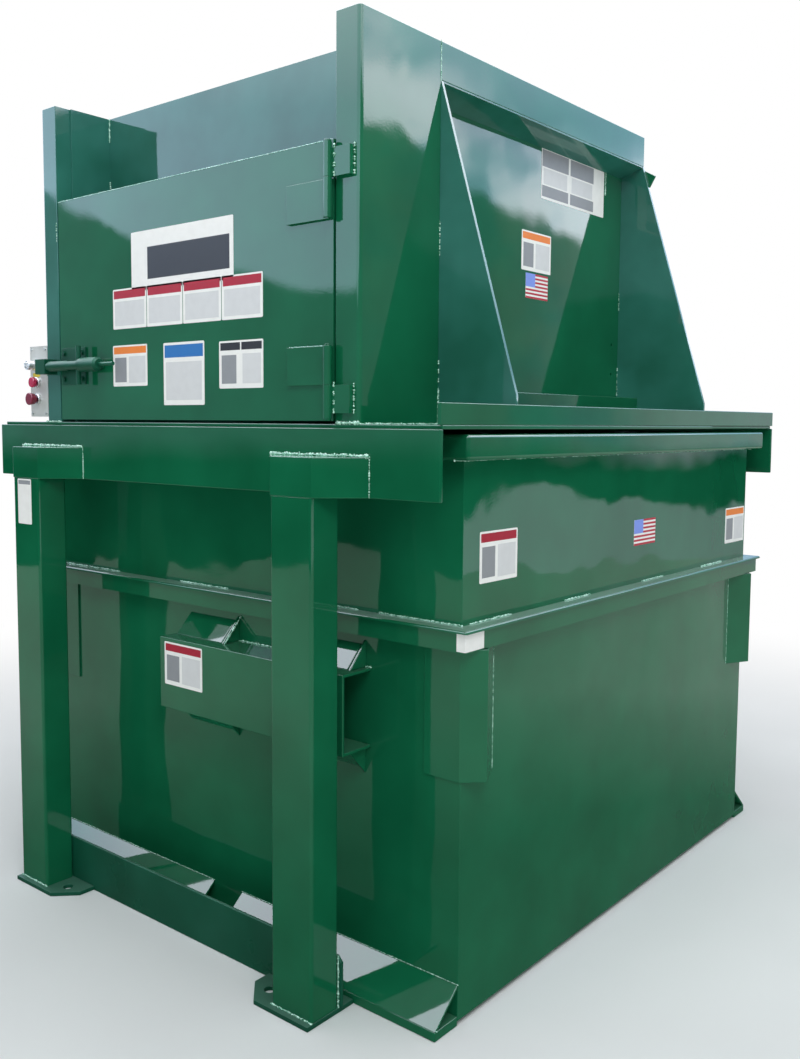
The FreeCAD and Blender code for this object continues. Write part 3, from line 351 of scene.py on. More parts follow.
def make_materials():
    """Every finish on the machine, by the names that the pieces use."""
    paint = finish()
    deep, light = paint.enamel_deep, paint.enamel
    gloss, wavy = paint.gloss, paint.waviness
    MATERIALS.update(
        enamel=gloss_enamel("gloss_green_enamel", wavy, deep, light, gloss),
        sheet=gloss_enamel("gloss_green_sheet", wavy * 3.2, deep, light, gloss),
        # The mid rib's enamel: its upward faces paled most, by dust and painted sky sheen.
        dusty=gloss_enamel("dusty_green_enamel", wavy, deep, light, gloss, paint.dust),
        # A lighter, bluer copy of the same enamel: painted reflection of bluish skylight for the
        # hopper mouth's shaded faces.
        faded=gloss_enamel("faded_green_enamel", wavy, linear("#225f50"), linear("#35776b"), gloss),
        # A darker, rougher copy of the same enamel: painted shade for the latch, the base plates
        # and the guides.
        satin=gloss_enamel("satin_green_enamel", wavy, linear("#0b4632"), linear("#125640"), 0.34,
                           shine=0.16),
        inner=inner_enamel(),
        # Weld beads spotted near white: painted glints.
        weld=painted_weld("enamelled_weld", linear("#2f7f5c"), linear("#b9e6d3")),
        # Pale mint beads on exposed edges: painted highlights of the sky caught there.
        edge=painted_weld("rubbed_enamel_edge", linear("#8cc4b8"), linear("#a8d8cd")),
        grey=powder_coat("light_grey_powder_coat", paint.box_grey),
        steel=metal("turned_steel", linear("#b6b9ba"), linear("#84888a"), 0.32, 1.2, (1, 1, 12)),
        rod=metal("hard_chrome_rod", linear("#dcdee0"), linear("#c2c6c9"), 0.12, 3),
        nickel=metal("nickel_plate", linear("#f0f0ec"), linear("#cfd0cc"), 0.3, 6),
        zinc=metal("zinc_plate", linear("#c9cbc4"), linear("#9fa39d"), 0.34, 5),
        red=moulded("red_moulded_acrylic", linear("#c02450"), 0.2),
        dark_red=moulded("dark_red_moulded_nylon", linear("#7b1030"), 0.3),
        yellow=moulded("yellow_moulded_tag", linear("#d9c514"), 0.35),
        white=vinyl("white_vinyl", paint.vinyl),
        red_band=vinyl("red_vinyl", linear("#a3162e")),
        orange_band=vinyl("orange_vinyl", linear("#e8812a")),
        blue_band=vinyl("blue_vinyl", linear("#1f6fb4")),
        black_band=vinyl("black_vinyl", linear("#1d1f22")),
        grey_band=vinyl("grey_vinyl", linear("#8d9296")),
        pale_band=vinyl("pale_grey_vinyl", linear("#d3d7d8")),
        charcoal_band=vinyl("charcoal_vinyl", linear("#2a2e33")),
        blue_field=vinyl("blue_field_vinyl", linear("#7d97ea")),
        stripe=vinyl("stripe_red_vinyl", linear("#b5293a")))


# --------------------------------------------------------- making pieces ----
def new_piece(name, grid_or_mesh, body, finishes, smooth=False):
    """A mesh object that rides on a body, with its finishes in order."""
    if isinstance(grid_or_mesh, bpy.types.Mesh):
        mesh = grid_or_mesh
        mesh.materials.clear()
    else:
        mesh = bpy.data.meshes.new(name)
        grid_or_mesh.to_mesh(mesh)
        grid_or_mesh.free()
    for key in finishes:
        mesh.materials.append(MATERIALS[key])
    if smooth:
        mesh.shade_smooth()
    piece = bpy.data.objects.new(name, mesh)
    bpy.context.scene.collection.objects.link(piece)
    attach(piece, body)
    return piece


def rolled(node, finish_key, radius=None, outer=None, inside=True):
    """A CAD node with the small radius of its real edges, in place of the plain one.

    A radius for outer rounds the edges along the node's own box more widely.
    With inside off, only the edges that stand out are rounded.
    """
    mesh = frame["nodes"][node].data.copy()
    mesh.name = node + "_edges"
    grid = bmesh.new()
    grid.from_mesh(mesh)
    bmesh.ops.remove_doubles(grid, verts=grid.verts, dist=SAME_POINT)
    bmesh.ops.dissolve_limit(grid, angle_limit=FLAT, verts=grid.verts, edges=grid.edges)
    weight = grid.edges.layers.float.new("bevel_weight_edge")
    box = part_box(node)
    for edge in grid.edges:
        middle = (edge.verts[0].co + edge.verts[1].co) / 2
        touched = sum(min(abs(middle[k] - end[k]) for end in box) < ON_BOX for k in range(3))
        stands_out = edge.calc_face_angle_signed(0.0) > SHARP
        edge[weight] = touched > 1 if outer else stands_out
    grid.to_mesh(mesh)
    grid.free()
    piece = new_piece(node + "_rolled", mesh, BODY[node], [finish_key], smooth=True)
    if outer:
        wide = piece.modifiers.new("Outer corner", "BEVEL")
        wide.width = outer
        wide.segments = 4
        wide.limit_method = "WEIGHT"
    bevel = piece.modifiers.new("Rolled edge", "BEVEL")
    bevel.width = radius or sizes().edge
    bevel.segments = 2
    bevel.limit_method = "ANGLE" if inside else "WEIGHT"
    bevel.angle_limit = SHARP
    bevel.use_clamp_overlap = True
    flat = piece.modifiers.new("Flat faces", "WEIGHTED_NORMAL")
    flat.mode = "FACE_AREA"
    flat.weight = 100
    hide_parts(node)


def socket(tree, name, kind, direction="INPUT", default=None):
    """A named socket on a node tree."""
    item = tree.interface.new_socket(name, in_out=direction, socket_type=kind)
    if default is not None:
        item.default_value = default


def bead_tree():
    """Ripples of weld metal laid along every edge of a path mesh."""
    tree = bpy.data.node_groups.new("weld_bead", "GeometryNodeTree")
    socket(tree, "Geometry", "NodeSocketGeometry")
    socket(tree, "Half Width", "NodeSocketFloat", default=0.005)
    socket(tree, "Ripple", "NodeSocketFloat", default=0.005)
    socket(tree, "Material", "NodeSocketMaterial")
    socket(tree, "Geometry", "NodeSocketGeometry", "OUTPUT")
    given = add(tree, "NodeGroupInput").outputs
    path = add(tree, "GeometryNodeMeshToCurve", [(given["Geometry"], 0)])
    steps = add(tree, "GeometryNodeResampleCurve", [(path, 0), (given["Ripple"], "Length")],
                mode="LENGTH")
    along = add(tree, "GeometryNodeInputTangent")
    turn = add(tree, "FunctionNodeAlignRotationToVector", [(along, "Vector")], axis="X")
    drop = add(tree, "GeometryNodeMeshUVSphere", in_Segments=8, in_Rings=5, in_Radius=1.0)
    # A drop reaches 0.8 of a step either way, so that neighbours run together.
    long = maths(tree, "MULTIPLY", given["Ripple"], 0.8)
    half = given["Half Width"]
    size = add(tree, "ShaderNodeCombineXYZ", [(long, "X"), (half, "Y"), (half, "Z")])
    vary = add(tree, "FunctionNodeRandomValue", [((0.7, 0.4, 0.4), 0), ((1.3, 1.25, 1.25), 1)],
               data_type="FLOAT_VECTOR", in_Seed=7)
    scale = add(tree, "ShaderNodeVectorMath", [(size, 0), (vary, 1)], operation="MULTIPLY")
    placed = add(tree, "GeometryNodeInstanceOnPoints",
                 [(steps, "Points"), (drop, "Instance"), (turn, "Rotation"), (scale, "Scale")])
    real = add(tree, "GeometryNodeRealizeInstances", [(placed, 0)])
    soft = add(tree, "GeometryNodeSetShadeSmooth", [(real, 0)])
    coated = add(tree, "GeometryNodeSetMaterial", [(soft, 0), (given["Material"], "Material")])
    add(tree, "NodeGroupOutput", [(coated, 0)])
    return tree


def fastener_tree():
    """A headed fastener with its washer at every point, pointing along -Y."""
    tree = bpy.data.node_groups.new("fastener", "GeometryNodeTree")
    socket(tree, "Geometry", "NodeSocketGeometry")
    socket(tree, "Head Radius", "NodeSocketFloat", default=0.0085)
    socket(tree, "Head Height", "NodeSocketFloat", default=0.006)
    socket(tree, "Sides", "NodeSocketInt", default=6)
    socket(tree, "Material", "NodeSocketMaterial")
    socket(tree, "Geometry", "NodeSocketGeometry", "OUTPUT")
    given = add(tree, "NodeGroupInput").outputs
    radius, height = given["Head Radius"], given["Head Height"]
    head = add(tree, "GeometryNodeMeshCylinder",
               [(given["Sides"], "Vertices"), (radius, "Radius"), (height, "Depth")])
    wide = maths(tree, "MULTIPLY", radius, 1.2)
    thin = maths(tree, "MULTIPLY", height, 0.22)
    washer = add(tree, "GeometryNodeMeshCylinder", [(wide, "Radius"), (thin, "Depth")],
                 in_Vertices=24)
    half = maths(tree, "MULTIPLY", height, 0.5)
    lift = add(tree, "ShaderNodeCombineXYZ", [(half, "Z")])
    raised = add(tree, "GeometryNodeTransform", [(head, 0), (lift, "Translation")])
    both = add(tree, "GeometryNodeJoinGeometry", [(raised, 0), (washer, 0)])
    placed = add(tree, "GeometryNodeInstanceOnPoints",
                 [(given["Geometry"], "Points"), (both, "Instance")],
                 in_Rotation=(math.radians(90), 0, 0))
    real = add(tree, "GeometryNodeRealizeInstances", [(placed, 0)])
    coated = add(tree, "GeometryNodeSetMaterial", [(real, 0), (given["Material"], "Material")])
    add(tree, "NodeGroupOutput", [(coated, 0)])
    return tree


def grown(name, tree_name, points, edges, body, finish_key, **values):
    """Runs a node tree on a path or points and keeps the result as a plain mesh.

    Values are named after the tree's sockets, with _ for a space.
    """
    tree = bpy.data.node_groups[tree_name]
    seed = bpy.data.meshes.new(name + "_path")
    seed.from_pydata([Vector(p) * MM for p in points], edges, [])
    holder = bpy.data.objects.new(name + "_path", seed)
    bpy.context.scene.collection.objects.link(holder)
    made = holder.modifiers.new("Grow", "NODES")
    made.node_group = tree
    values["Material"] = MATERIALS[finish_key]
    for item in tree.interface.items_tree:
        key = item.name.replace(" ", "_")
        if item.in_out == "INPUT" and key in values:
            made[item.identifier] = values[key]
    bpy.context.view_layer.update()
    ready = holder.evaluated_get(bpy.context.evaluated_depsgraph_get())
    mesh = bpy.data.meshes.new_from_object(ready)
    mesh.name = name
    bpy.data.objects.remove(holder)
    return new_piece(name, mesh, body, [finish_key])


def inside_corners(node, inset, y):
    """Four points at one depth, set in from the corners of a node's front."""
    low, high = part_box(node)
    places = [(low[axis] / MM + inset, high[axis] / MM - inset) for axis in (0, 2)]
    return [(x, y, z) for x in places[0] for z in places[1]]


def welded(name, body, runs, half=None, finish_key="weld", ripple=None):
    """Beads along runs of points, each run an unbroken line."""
    points, edges = [], []
    for run in runs:
        start = len(points)
        points += run
        edges += [(start + k, start + k + 1) for k in range(len(run) - 1)]
    grown(name, "weld_bead", points, edges, body, finish_key,
          Half_Width=half or sizes().bead, Ripple=ripple or sizes().ripple)


def tacks(x, y, low, high, pitch=16):
    """Short separate dabs of weld up an edge."""
    return [[(x, y, z), (x, y, z + TACK_LENGTH)] for z in range(low, high, pitch)]


# ------------------------------------------------------------- stickers ----
CORNER_STEPS = 4
# Millimetres that a sticker sinks into its surface, and that each colour lies over the last.
STICKER_SINK = 0.05
FIELD_LIFT = 0.08


def corner_points(wide, high, radius):
    """The outline of a sheet with rounded corners, from its lower left."""
    points = []
    for cx, cy, start in ((wide - radius, radius, -90), (wide - radius, high - radius, 0),
                          (radius, high - radius, 90), (radius, radius, 180)):
        for k in range(CORNER_STEPS + 1):
            a = math.radians(start + 90 * k / CORNER_STEPS)
            points.append((cx + radius * math.cos(a), cy + radius * math.sin(a)))
    return points


def sheet(grid, put, outline, low, high, index=0):
    """A flat piece of an outline, between two heights over its surface."""
    under = [grid.verts.new(put(a, b, low)) for a, b in outline]
    over = [grid.verts.new(put(a, b, high)) for a, b in outline]
    faces = [grid.faces.new(over)]
    count = len(outline)
    faces += [grid.faces.new((under[k], under[(k + 1) % count], over[(k + 1) % count], over[k]))
              for k in range(count)]
    for face in faces:
        face.material_index = index


def on_front(x0, z0, y):
    """Places sticker points on a face that looks along -Y."""
    return lambda a, b, h: Vector((x0 + a, y - h, z0 + b)) * MM


def on_side(y0, z0, x):
    """Places sticker points on a face that looks along +X."""
    return lambda a, b, h: Vector((x + h, y0 + a, z0 + b)) * MM


# Each layout lists plain fields as (left, bottom, right, top, colour), in shares of the
# sticker's size.  A colour counts along the colours that the sticker is given.
PLAIN = []
BANNER = [(0.17, 0.18, 0.965, 0.72, 0)]
HEADED = [(0.03, 0.76, 0.97, 0.96, 0), (0.06, 0.08, 0.94, 0.69, 1)]
SPLIT = [(0.03, 0.79, 0.97, 0.96, 0), (0.06, 0.1, 0.4, 0.7, 1), (0.47, 0.08, 0.95, 0.72, 2)]
TWIN = [(0.03, 0.80, 0.485, 0.96, 0), (0.515, 0.80, 0.97, 0.96, 0), (0.06, 0.1, 0.4, 0.7, 1),
        (0.54, 0.1, 0.95, 0.72, 2)]
QUARTERED = [(0.01, 0.64, 0.41, 0.97, 0), (0.44, 0.64, 0.82, 0.97, 0), (0.01, 0.05, 0.41, 0.27, 0),
             (0.44, 0.05, 0.82, 0.27, 0), (0.03, 0.3, 0.39, 0.61, 1), (0.46, 0.3, 0.8, 0.61, 1)]
STRIPED = [(0.0, k / 13, 1.0, (k + 1) / 13, 0) for k in range(0, 13, 2)]
STRIPED += [(0.0, 6 / 13, 0.42, 1.0, 1)]
TOPPED = [(0.06, 0.88, 0.94, 0.97, 0)]

# Corner radii, in millimetres.
ROUND = 4.0
SQUARE = 1.0
# For each piece its body, its finishes with the sheet's first, and its stickers as (facing,
# face, left, bottom, width, height, layout, colours, corner radius).
STICKERS = (
    ("door_stickers", "door",
     ("white", "red_band", "orange_band", "blue_band", "black_band", "grey_band", "pale_band",
      "charcoal_band"),
     ((on_front, HOPPER_FRONT, -220, 1913, 452, 172, BANNER, ("charcoal_band",), ROUND),
      *((on_front, HOPPER_FRONT, -314 + k * 165.8, 1806, 163, 119, HEADED,
         ("red_band", "pale_band"), ROUND) for k in range(4)),
      (on_front, HOPPER_FRONT, -318, 1634, 168, 123, SPLIT,
       ("orange_band", "grey_band", "pale_band"), ROUND),
      (on_front, HOPPER_FRONT, -73, 1576, 181, 179, HEADED, ("blue_band", "pale_band"), ROUND),
      (on_front, HOPPER_FRONT, 171, 1620, 176, 129, TWIN,
       ("black_band", "grey_band", "pale_band"), ROUND))),
    ("panel_stickers", "stand",
     ("white", "orange_band", "blue_field", "grey_band", "stripe", "pale_band"),
     ((on_side, HOPPER_SIDE, -104, 2238, 405, 157, QUARTERED, ("grey_band", "pale_band"), ROUND),
      (on_side, HOPPER_SIDE, -212, 2005, 172, 122, SPLIT,
       ("orange_band", "grey_band", "pale_band"), ROUND),
      (on_side, HOPPER_SIDE, -186, 1921, 131, 77, STRIPED, ("stripe", "blue_field"), SQUARE))),
    ("container_stickers", "container",
     ("white", "red_band", "orange_band", "blue_field", "stripe", "grey_band", "pale_band"),
     ((on_side, TUB_SIDE, -844, 1127, 172, 131, SPLIT,
       ("red_band", "grey_band", "pale_band"), ROUND),
      (on_side, TUB_SIDE, -3, 1149, 149, 81, STRIPED, ("stripe", "blue_field"), SQUARE),
      (on_side, TUB_SIDE, 727, 1093, 178, 130, SPLIT,
       ("orange_band", "grey_band", "pale_band"), ROUND))),
    ("pocket_stickers", "container",
     ("white", "red_band", "grey_band", "pale_band"),
     ((on_front, POCKET_FRONT, -118, 738, 173, 130, SPLIT,
       ("red_band", "grey_band", "pale_band"), ROUND),
      (on_front, EAR_FRONT, 915, 975, 26, 50, PLAIN, (), SQUARE),
      (on_side, EAR_SIDE, -951, 975, 79, 50, PLAIN, (), SQUARE))),
    ("leg_sticker", "stand", ("white", "grey_band"),
     ((on_front, LEG_FRONT, -688, 1197, 78, 145, TOPPED, ("grey_band",), ROUND),)),
)


def sticker(grid, put, wide, high, layout, colours, radius):
    """One vinyl sticker: its white sheet, then plain fields of colour on it."""
    thick = sizes().sticker / MM
    sheet(grid, put, corner_points(wide, high, radius), -STICKER_SINK, thick)
    for left, bottom, right, top, colour in layout:
        a0, a1, b0, b1 = left * wide, right * wide, bottom * high, top * high
        sheet(grid, put, [(a0, b0), (a1, b0), (a1, b1), (a0, b1)], thick,
              thick + FIELD_LIFT * (1 + colour), colours[colour])


# ---------------------------------------------------------------- welds ----
# How long a tack is, in millimetres.
TACK_LENGTH = 6
# Half widths of the beads that differ from the usual one, and a close ripple, in metres.
TACK_BEAD = 0.0022
BRACKET_BEAD = 0.0058
HEADER_BEAD = 0.0016
THIN_BEAD = 0.0014
CLOSE_RIPPLE = 0.0012

# The bead on a leg bracket, the tacks beside it (lowest, highest, pitch), and the lowest and
# highest tack beside each hinge block.
BRACKET_TOP = 1447
BRACKET_TACKS = (1348, 1442, 13)
BLOCK_TACKS = ((1554, 1622), (2130, 2197))

# Each run is a line of points, in millimetres.
JAMB_FOOT = [(612, -1055, 1528), (684, -1055, 1528)]
# Feet of the jambs, then up the seams of right jamb, side panel and left panel.
JAMB_RUNS = [
    [(687.5, -1050, 1526), (687.5, -735, 1526)],
    [(-687, -1054.5, 1526), (-607, -1054.5, 1526)],
    [(687.5, -735.5, 1527), (687.5, -735.5, 1620)],
    [(608, 310, 2318), (608, 310, 2392)],
    [(-599.5, -855.5, 2452), (-599.5, -855.5, 2524)],
    [(-599.5, -855.5, 2301), (-599.5, -855.5, 2318)],
]
# The latch keeper's side, and the end of the guide plate against the leg.
FRONT_RUNS = [
    [(-679.5, -1054.5, 1678), (-679.5, -1054.5, 1726)],
    [(631.5, -1065.5, 14), (631.5, -1065.5, 150)],
]
HEADER_RUN = [(687.3, -735.5, 2424), (687.3, -735.5, 2524)]
# Rows of tacks up a seam: x, y, lowest, highest, pitch.
SEAM_TACKS = (
    (688.5, -736.5, 1974, 2070, 16), (688.5, -736.5, 1640, 1700, 24),
    (608.5, 427.5, 1935, 1990, 16), (608.5, 427.5, 1633, 1722, 22),
    (-610, -1055, 2103, 2157, 16),
)
# Broken beads on top of the mid rib: their height, and ranges along its front and its side.
RIB_TOP = 1031
RIB_FRONT_RUNS = ((-800, -500), (-180, 40), (300, 360), (480, 560), (640, 905))
RIB_SIDE_RUNS = ((-880, -700), (-420, -280), (60, 210), (520, 700))
# The fork pocket and its gusset, the runner's halves, and the lip's lower edge.
TUB_RUNS = [
    [(-140, -915.5, 881), (610, -915.5, 881)],
    [(100, -915.5, 955), (100, -980, 882)],
    [(-845, -1003, 26), (-30, -1003, 26)],
    [(97, -1003, 26), (905, -1003, 26)],
    [(905.5, -955, 1440), (905.5, 955, 1440)],
]
# Beside the corner ears, and along the top of the skid plates.
EAR_RUNS = [
    [(905.3, -775, 640), (905.3, -775, 970)],
    [(905.3, 775, 640), (905.3, 775, 970)],
    [(-845, -916, 109), (-30, -916, 109)],
    [(97, -916, 109), (905, -916, 109)],
]
# Painted highlights, pale beads standing in for sky caught on edges: the tops of the hinge straps,
# a dab at the lower one's foot, the door's top.
DOOR_RUNS = [
    [(447, -1056, 2128), (585, -1056, 2128)],
    [(447, -1056, 1720.5), (585, -1056, 1720.5)],
    [(577, -1056, 1548), (586, -1056, 1553)],
    [(-598, -1054.4, 2222), (598, -1054.4, 2222)],
]


# ------------------------------------------------------------ operators ----
class COMPACTOR_OT_finishes(bpy.types.Operator):
    """Mix the paints, metals, plastics and vinyls"""
    bl_idname = "compactor.finishes"
    bl_label = "Mix finishes"

    def execute(self, context):
        make_materials()
        return {"FINISHED"}


class COMPACTOR_OT_trees(bpy.types.Operator):
    """Build the node trees for weld beads and fasteners"""
    bl_idname = "compactor.trees"
    bl_label = "Build node trees"

    def execute(self, context):
        bead_tree()
        fastener_tree()
        return {"FINISHED"}


class COMPACTOR_OT_container(bpy.types.Operator):
    """The waste container with its lip, rib, ears and fork pockets"""
    bl_idname = "compactor.container"
    bl_label = "Container"

    def execute(self, context):
        rolled("container_shell", "sheet", radius=0.0015)
        rolled("top_lip", "enamel", outer=0.010)
        # The rib's upward faces are paled most: dust and painted sky sheen.
        rolled("mid_rib", "dusty", outer=0.006)
        for node in ("corner_ears", "fork_pocket_front", "fork_pocket_rear",
                     "pocket_wedges", "runners", "skid_plates"):
            rolled(node, "enamel")
        return {"FINISHED"}


class COMPACTOR_OT_stand(bpy.types.Operator):
    """Beams, decks, legs, brackets, base plates and guides"""
    bl_idname = "compactor.stand"
    bl_label = "Stand"

    def execute(self, context):
        for node in ("front_beam", "back_beam", "end_beam", "ledge_plate", "deck_plate",
                     "rear_deck", "legs", "leg_brackets"):
            rolled(node, "enamel")
        # The base plates and guides take the darker copy of the enamel: painted shade.
        for node in ("base_plates", "guide_front", "guide_rear"):
            rolled(node, "satin")
        return {"FINISHED"}


class COMPACTOR_OT_hopper(bpy.types.Operator):
    """Jambs, panels, headers, wings and covers"""
    bl_idname = "compactor.hopper"
    bl_label = "Hopper"

    def execute(self, context):
        for node in ("jamb_right", "header_right", "header_left", "curb", "wing_gusset",
                     "post_left", "rear_housing", "side_panel_right", "back_panel", "top_cover"):
            rolled(node, "enamel")
        # The hopper mouth's inner faces take the lighter, bluer copy: painted skylight reflection.
        rolled("jamb_left", "faded")
        for node in ("wing_near", "wing_far", "soffit", "baffle"):
            rolled(node, "faded", radius=0.0006)
        rolled("side_panel_left", "faded", radius=0.0004)
        return {"FINISHED"}


class COMPACTOR_OT_door(bpy.types.Operator):
    """The door, its hinge straps, hinge blocks and pins"""
    bl_idname = "compactor.door"
    bl_label = "Door and hinges"

    def execute(self, context):
        rolled("door_panel", "enamel", radius=0.004)
        rolled("hinge_straps", "enamel", radius=0.0008)
        rolled("hinge_blocks", "enamel", radius=0.0018)
        rolled("hinge_pins", "enamel", radius=0.001)
        return {"FINISHED"}


class COMPACTOR_OT_latch(bpy.types.Operator):
    """The sliding latch with its plate, guide, keeper and bolts"""
    bl_idname = "compactor.latch"
    bl_label = "Latch"

    def execute(self, context):
        # The latch takes the darker copy of the enamel: painted shade.
        for node in ("latch_plate", "latch_guide", "latch_keeper", "latch_bolt"):
            rolled(node, "satin", radius=0.0012)
        points = inside_corners("latch_bolts", BOLT_INSET, LATCH_FRONT - BOLT_PROUD)
        heads = grown("latch_bolt_heads", "fastener", points, [], "door", "satin",
                      Head_Radius=BOLT_RADIUS, Head_Height=BOLT_HEIGHT, Sides=sizes().bolt_sides)
        behind = [(x, NUT_FACE, z) for x, _, z in points]
        nuts = grown("latch_bolt_nuts", "fastener", behind, [], "door", "zinc",
                     Head_Radius=BOLT_RADIUS, Head_Height=NUT_HEIGHT, Sides=sizes().bolt_sides)
        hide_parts("latch_bolts")
        return {"FINISHED"}


class COMPACTOR_OT_controls(bpy.types.Operator):
    """The control box with its key switch and two buttons"""
    bl_idname = "compactor.controls"
    bl_label = "Controls"

    def execute(self, context):
        for node in ("control_box", "control_cover"):
            rolled(node, "grey", radius=0.0018)
        rolled("button_collars", "nickel", radius=0.0012)
        rolled("key", "nickel", radius=0.0008)
        rolled("stop_button", "red", radius=0.003, inside=False)
        rolled("mushroom_button", "dark_red", radius=0.008, inside=False)
        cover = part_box("control_cover")[0].y / MM
        points = inside_corners("control_cover", SCREW_INSET, cover - SCREW_PROUD)
        screws = grown("cover_screw_heads", "fastener", points, [], "stand", "zinc",
                       Head_Radius=SCREW_RADIUS, Head_Height=SCREW_HEIGHT, Sides=SCREW_SIDES)
        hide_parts("cover_screws")
        tag = bmesh.new()
        edge = corner_points(*TAG_SIZE, TAG_CORNER)
        sheet(tag, on_front(*TAG_PLACE, cover), edge, 0.0, TAG_THICK)
        new_piece("yellow_tag", tag, "stand", ["yellow"])
        return {"FINISHED"}


class COMPACTOR_OT_mechanism(bpy.types.Operator):
    """The packing head and its cylinder, inside the hopper"""
    bl_idname = "compactor.mechanism"
    bl_label = "Packing mechanism"

    def execute(self, context):
        rolled("packing_head", "inner", radius=0.002)
        for node in ("bearing_plates", "tower_plates"):
            rolled(node, "enamel", radius=0.0015)
        rolled("cylinder_barrel", "enamel", radius=0.001)
        rolled("cylinder_rod", "rod", radius=0.001)
        for node in ("head_shaft", "rod_pin", "barrel_pin"):
            rolled(node, "steel", radius=0.001)
        return {"FINISHED"}


class COMPACTOR_OT_stickers(bpy.types.Operator):
    """Blank vinyl stickers, in plain fields of colour"""
    bl_idname = "compactor.stickers"
    bl_label = "Stickers"

    def execute(self, context):
        for name, body, finishes, rows in STICKERS:
            grid = bmesh.new()
            for put, face, left, bottom, wide, high, layout, colours, radius in rows:
                picked = [finishes.index(key) for key in colours]
                sticker(grid, put(left, bottom, face), wide, high, layout, picked, radius)
            new_piece(name, grid, body, finishes)
        return {"FINISHED"}


class COMPACTOR_OT_welds(bpy.types.Operator):
    """Weld beads where the photographed joints show them"""
    bl_idname = "compactor.welds"
    bl_label = "Welds"

    def execute(self, context):
        # The order of the runs counts: each drop's own size is drawn by its place in the list.
        runs, thick, dabs = [], [], []
        for centre in LEG_CENTRES:
            left, right = centre - BRACKET_HALF, centre + BRACKET_HALF
            proud = BEAM_FRONT - 4
            thick.append([(left + 4, proud, BRACKET_TOP), (right - 2, proud, BRACKET_TOP)])
            for side in (right, left):
                dabs += tacks(side, BEAM_FRONT - 1, *BRACKET_TACKS)
            runs.append([(centre - LEG_HALF, LEG_FRONT, 13), (centre + LEG_HALF, LEG_FRONT, 13)])
        thick.append(JAMB_FOOT)
        runs += JAMB_RUNS
        for low, high in BLOCK_TACKS:
            runs += tacks(617, -1070.5, low, high, 22) + tacks(670.5, -1055.5, low, high)
        for x, y, low, high, pitch in SEAM_TACKS:
            dabs += tacks(x, y, low, high, pitch)
        runs += FRONT_RUNS
        welded("stand_tacks", "stand", dabs, TACK_BEAD)
        welded("stand_welds", "stand", runs)
        welded("bracket_welds", "stand", thick, BRACKET_BEAD)
        welded("header_weld", "stand", [HEADER_RUN], HEADER_BEAD)
        front, side = TUB_FRONT - 0.5, TUB_SIDE + 0.5
        tub = [[(x0, front, RIB_TOP), (x1, front, RIB_TOP)] for x0, x1 in RIB_FRONT_RUNS]
        tub += [[(side, y0, RIB_TOP), (side, y1, RIB_TOP)] for y0, y1 in RIB_SIDE_RUNS]
        welded("container_welds", "container", tub + TUB_RUNS)
        welded("ear_welds", "container", EAR_RUNS, THIN_BEAD)
        # Pale beads along the door's edges: painted highlights.
        welded("door_welds", "door", DOOR_RUNS, THIN_BEAD, "edge", CLOSE_RIPPLE)
        return {"FINISHED"}


# ---------------------------------------------------------------- stage ----
# The wall of light is a drum of this radius and this height, in metres.
WALL_RADIUS = 9.0
WALL_HEIGHT = 9.0
# Metres by which the hedge's top and the kerb wander, and by which the top rises far left.
HEDGE_RAGGED = 1.4
KERB_RAGGED = -0.7
HEDGE_FAR_RISE = 0.7
# Strength of the blue sky on the left, its drop to the right, and what white cloud and the
# sky overhead add to it.
BLUE_LEFT = 4.6
BLUE_DROP = -1.4
CLOUD_GLOW = 4.2
OVERHEAD_GLOW = 5.5
# How far the left half's colour lies from sky blue towards white.
LEFT_PALE = 0.4

FLOOR_RADIUS = 60.0
FLOOR_DROP = 0.0005
# Name, place, aim, side in metres, watts.
SOFTBOXES = (
    ("key_softbox", (4.6, -4.4, 6.4), (0, 0, 1.2), 3.0, 200),
    ("top_softbox", (0.4, 0.0, 8.5), (0, 0, 1.0), 6.0, 330),
)
CAMERA_PLACE = (2.3743, -2.9564, 1.5301)
CAMERA_TURN = (85.2318, -0.3696, 39.6516)
# Millimetres, then the picture's shift as shares of its longer side, then metres.
LENS_LENGTH = 35.09
LENS_SENSOR = 36
LENS_SHIFT = (0.0058, -0.0198)
LENS_REACH = 200


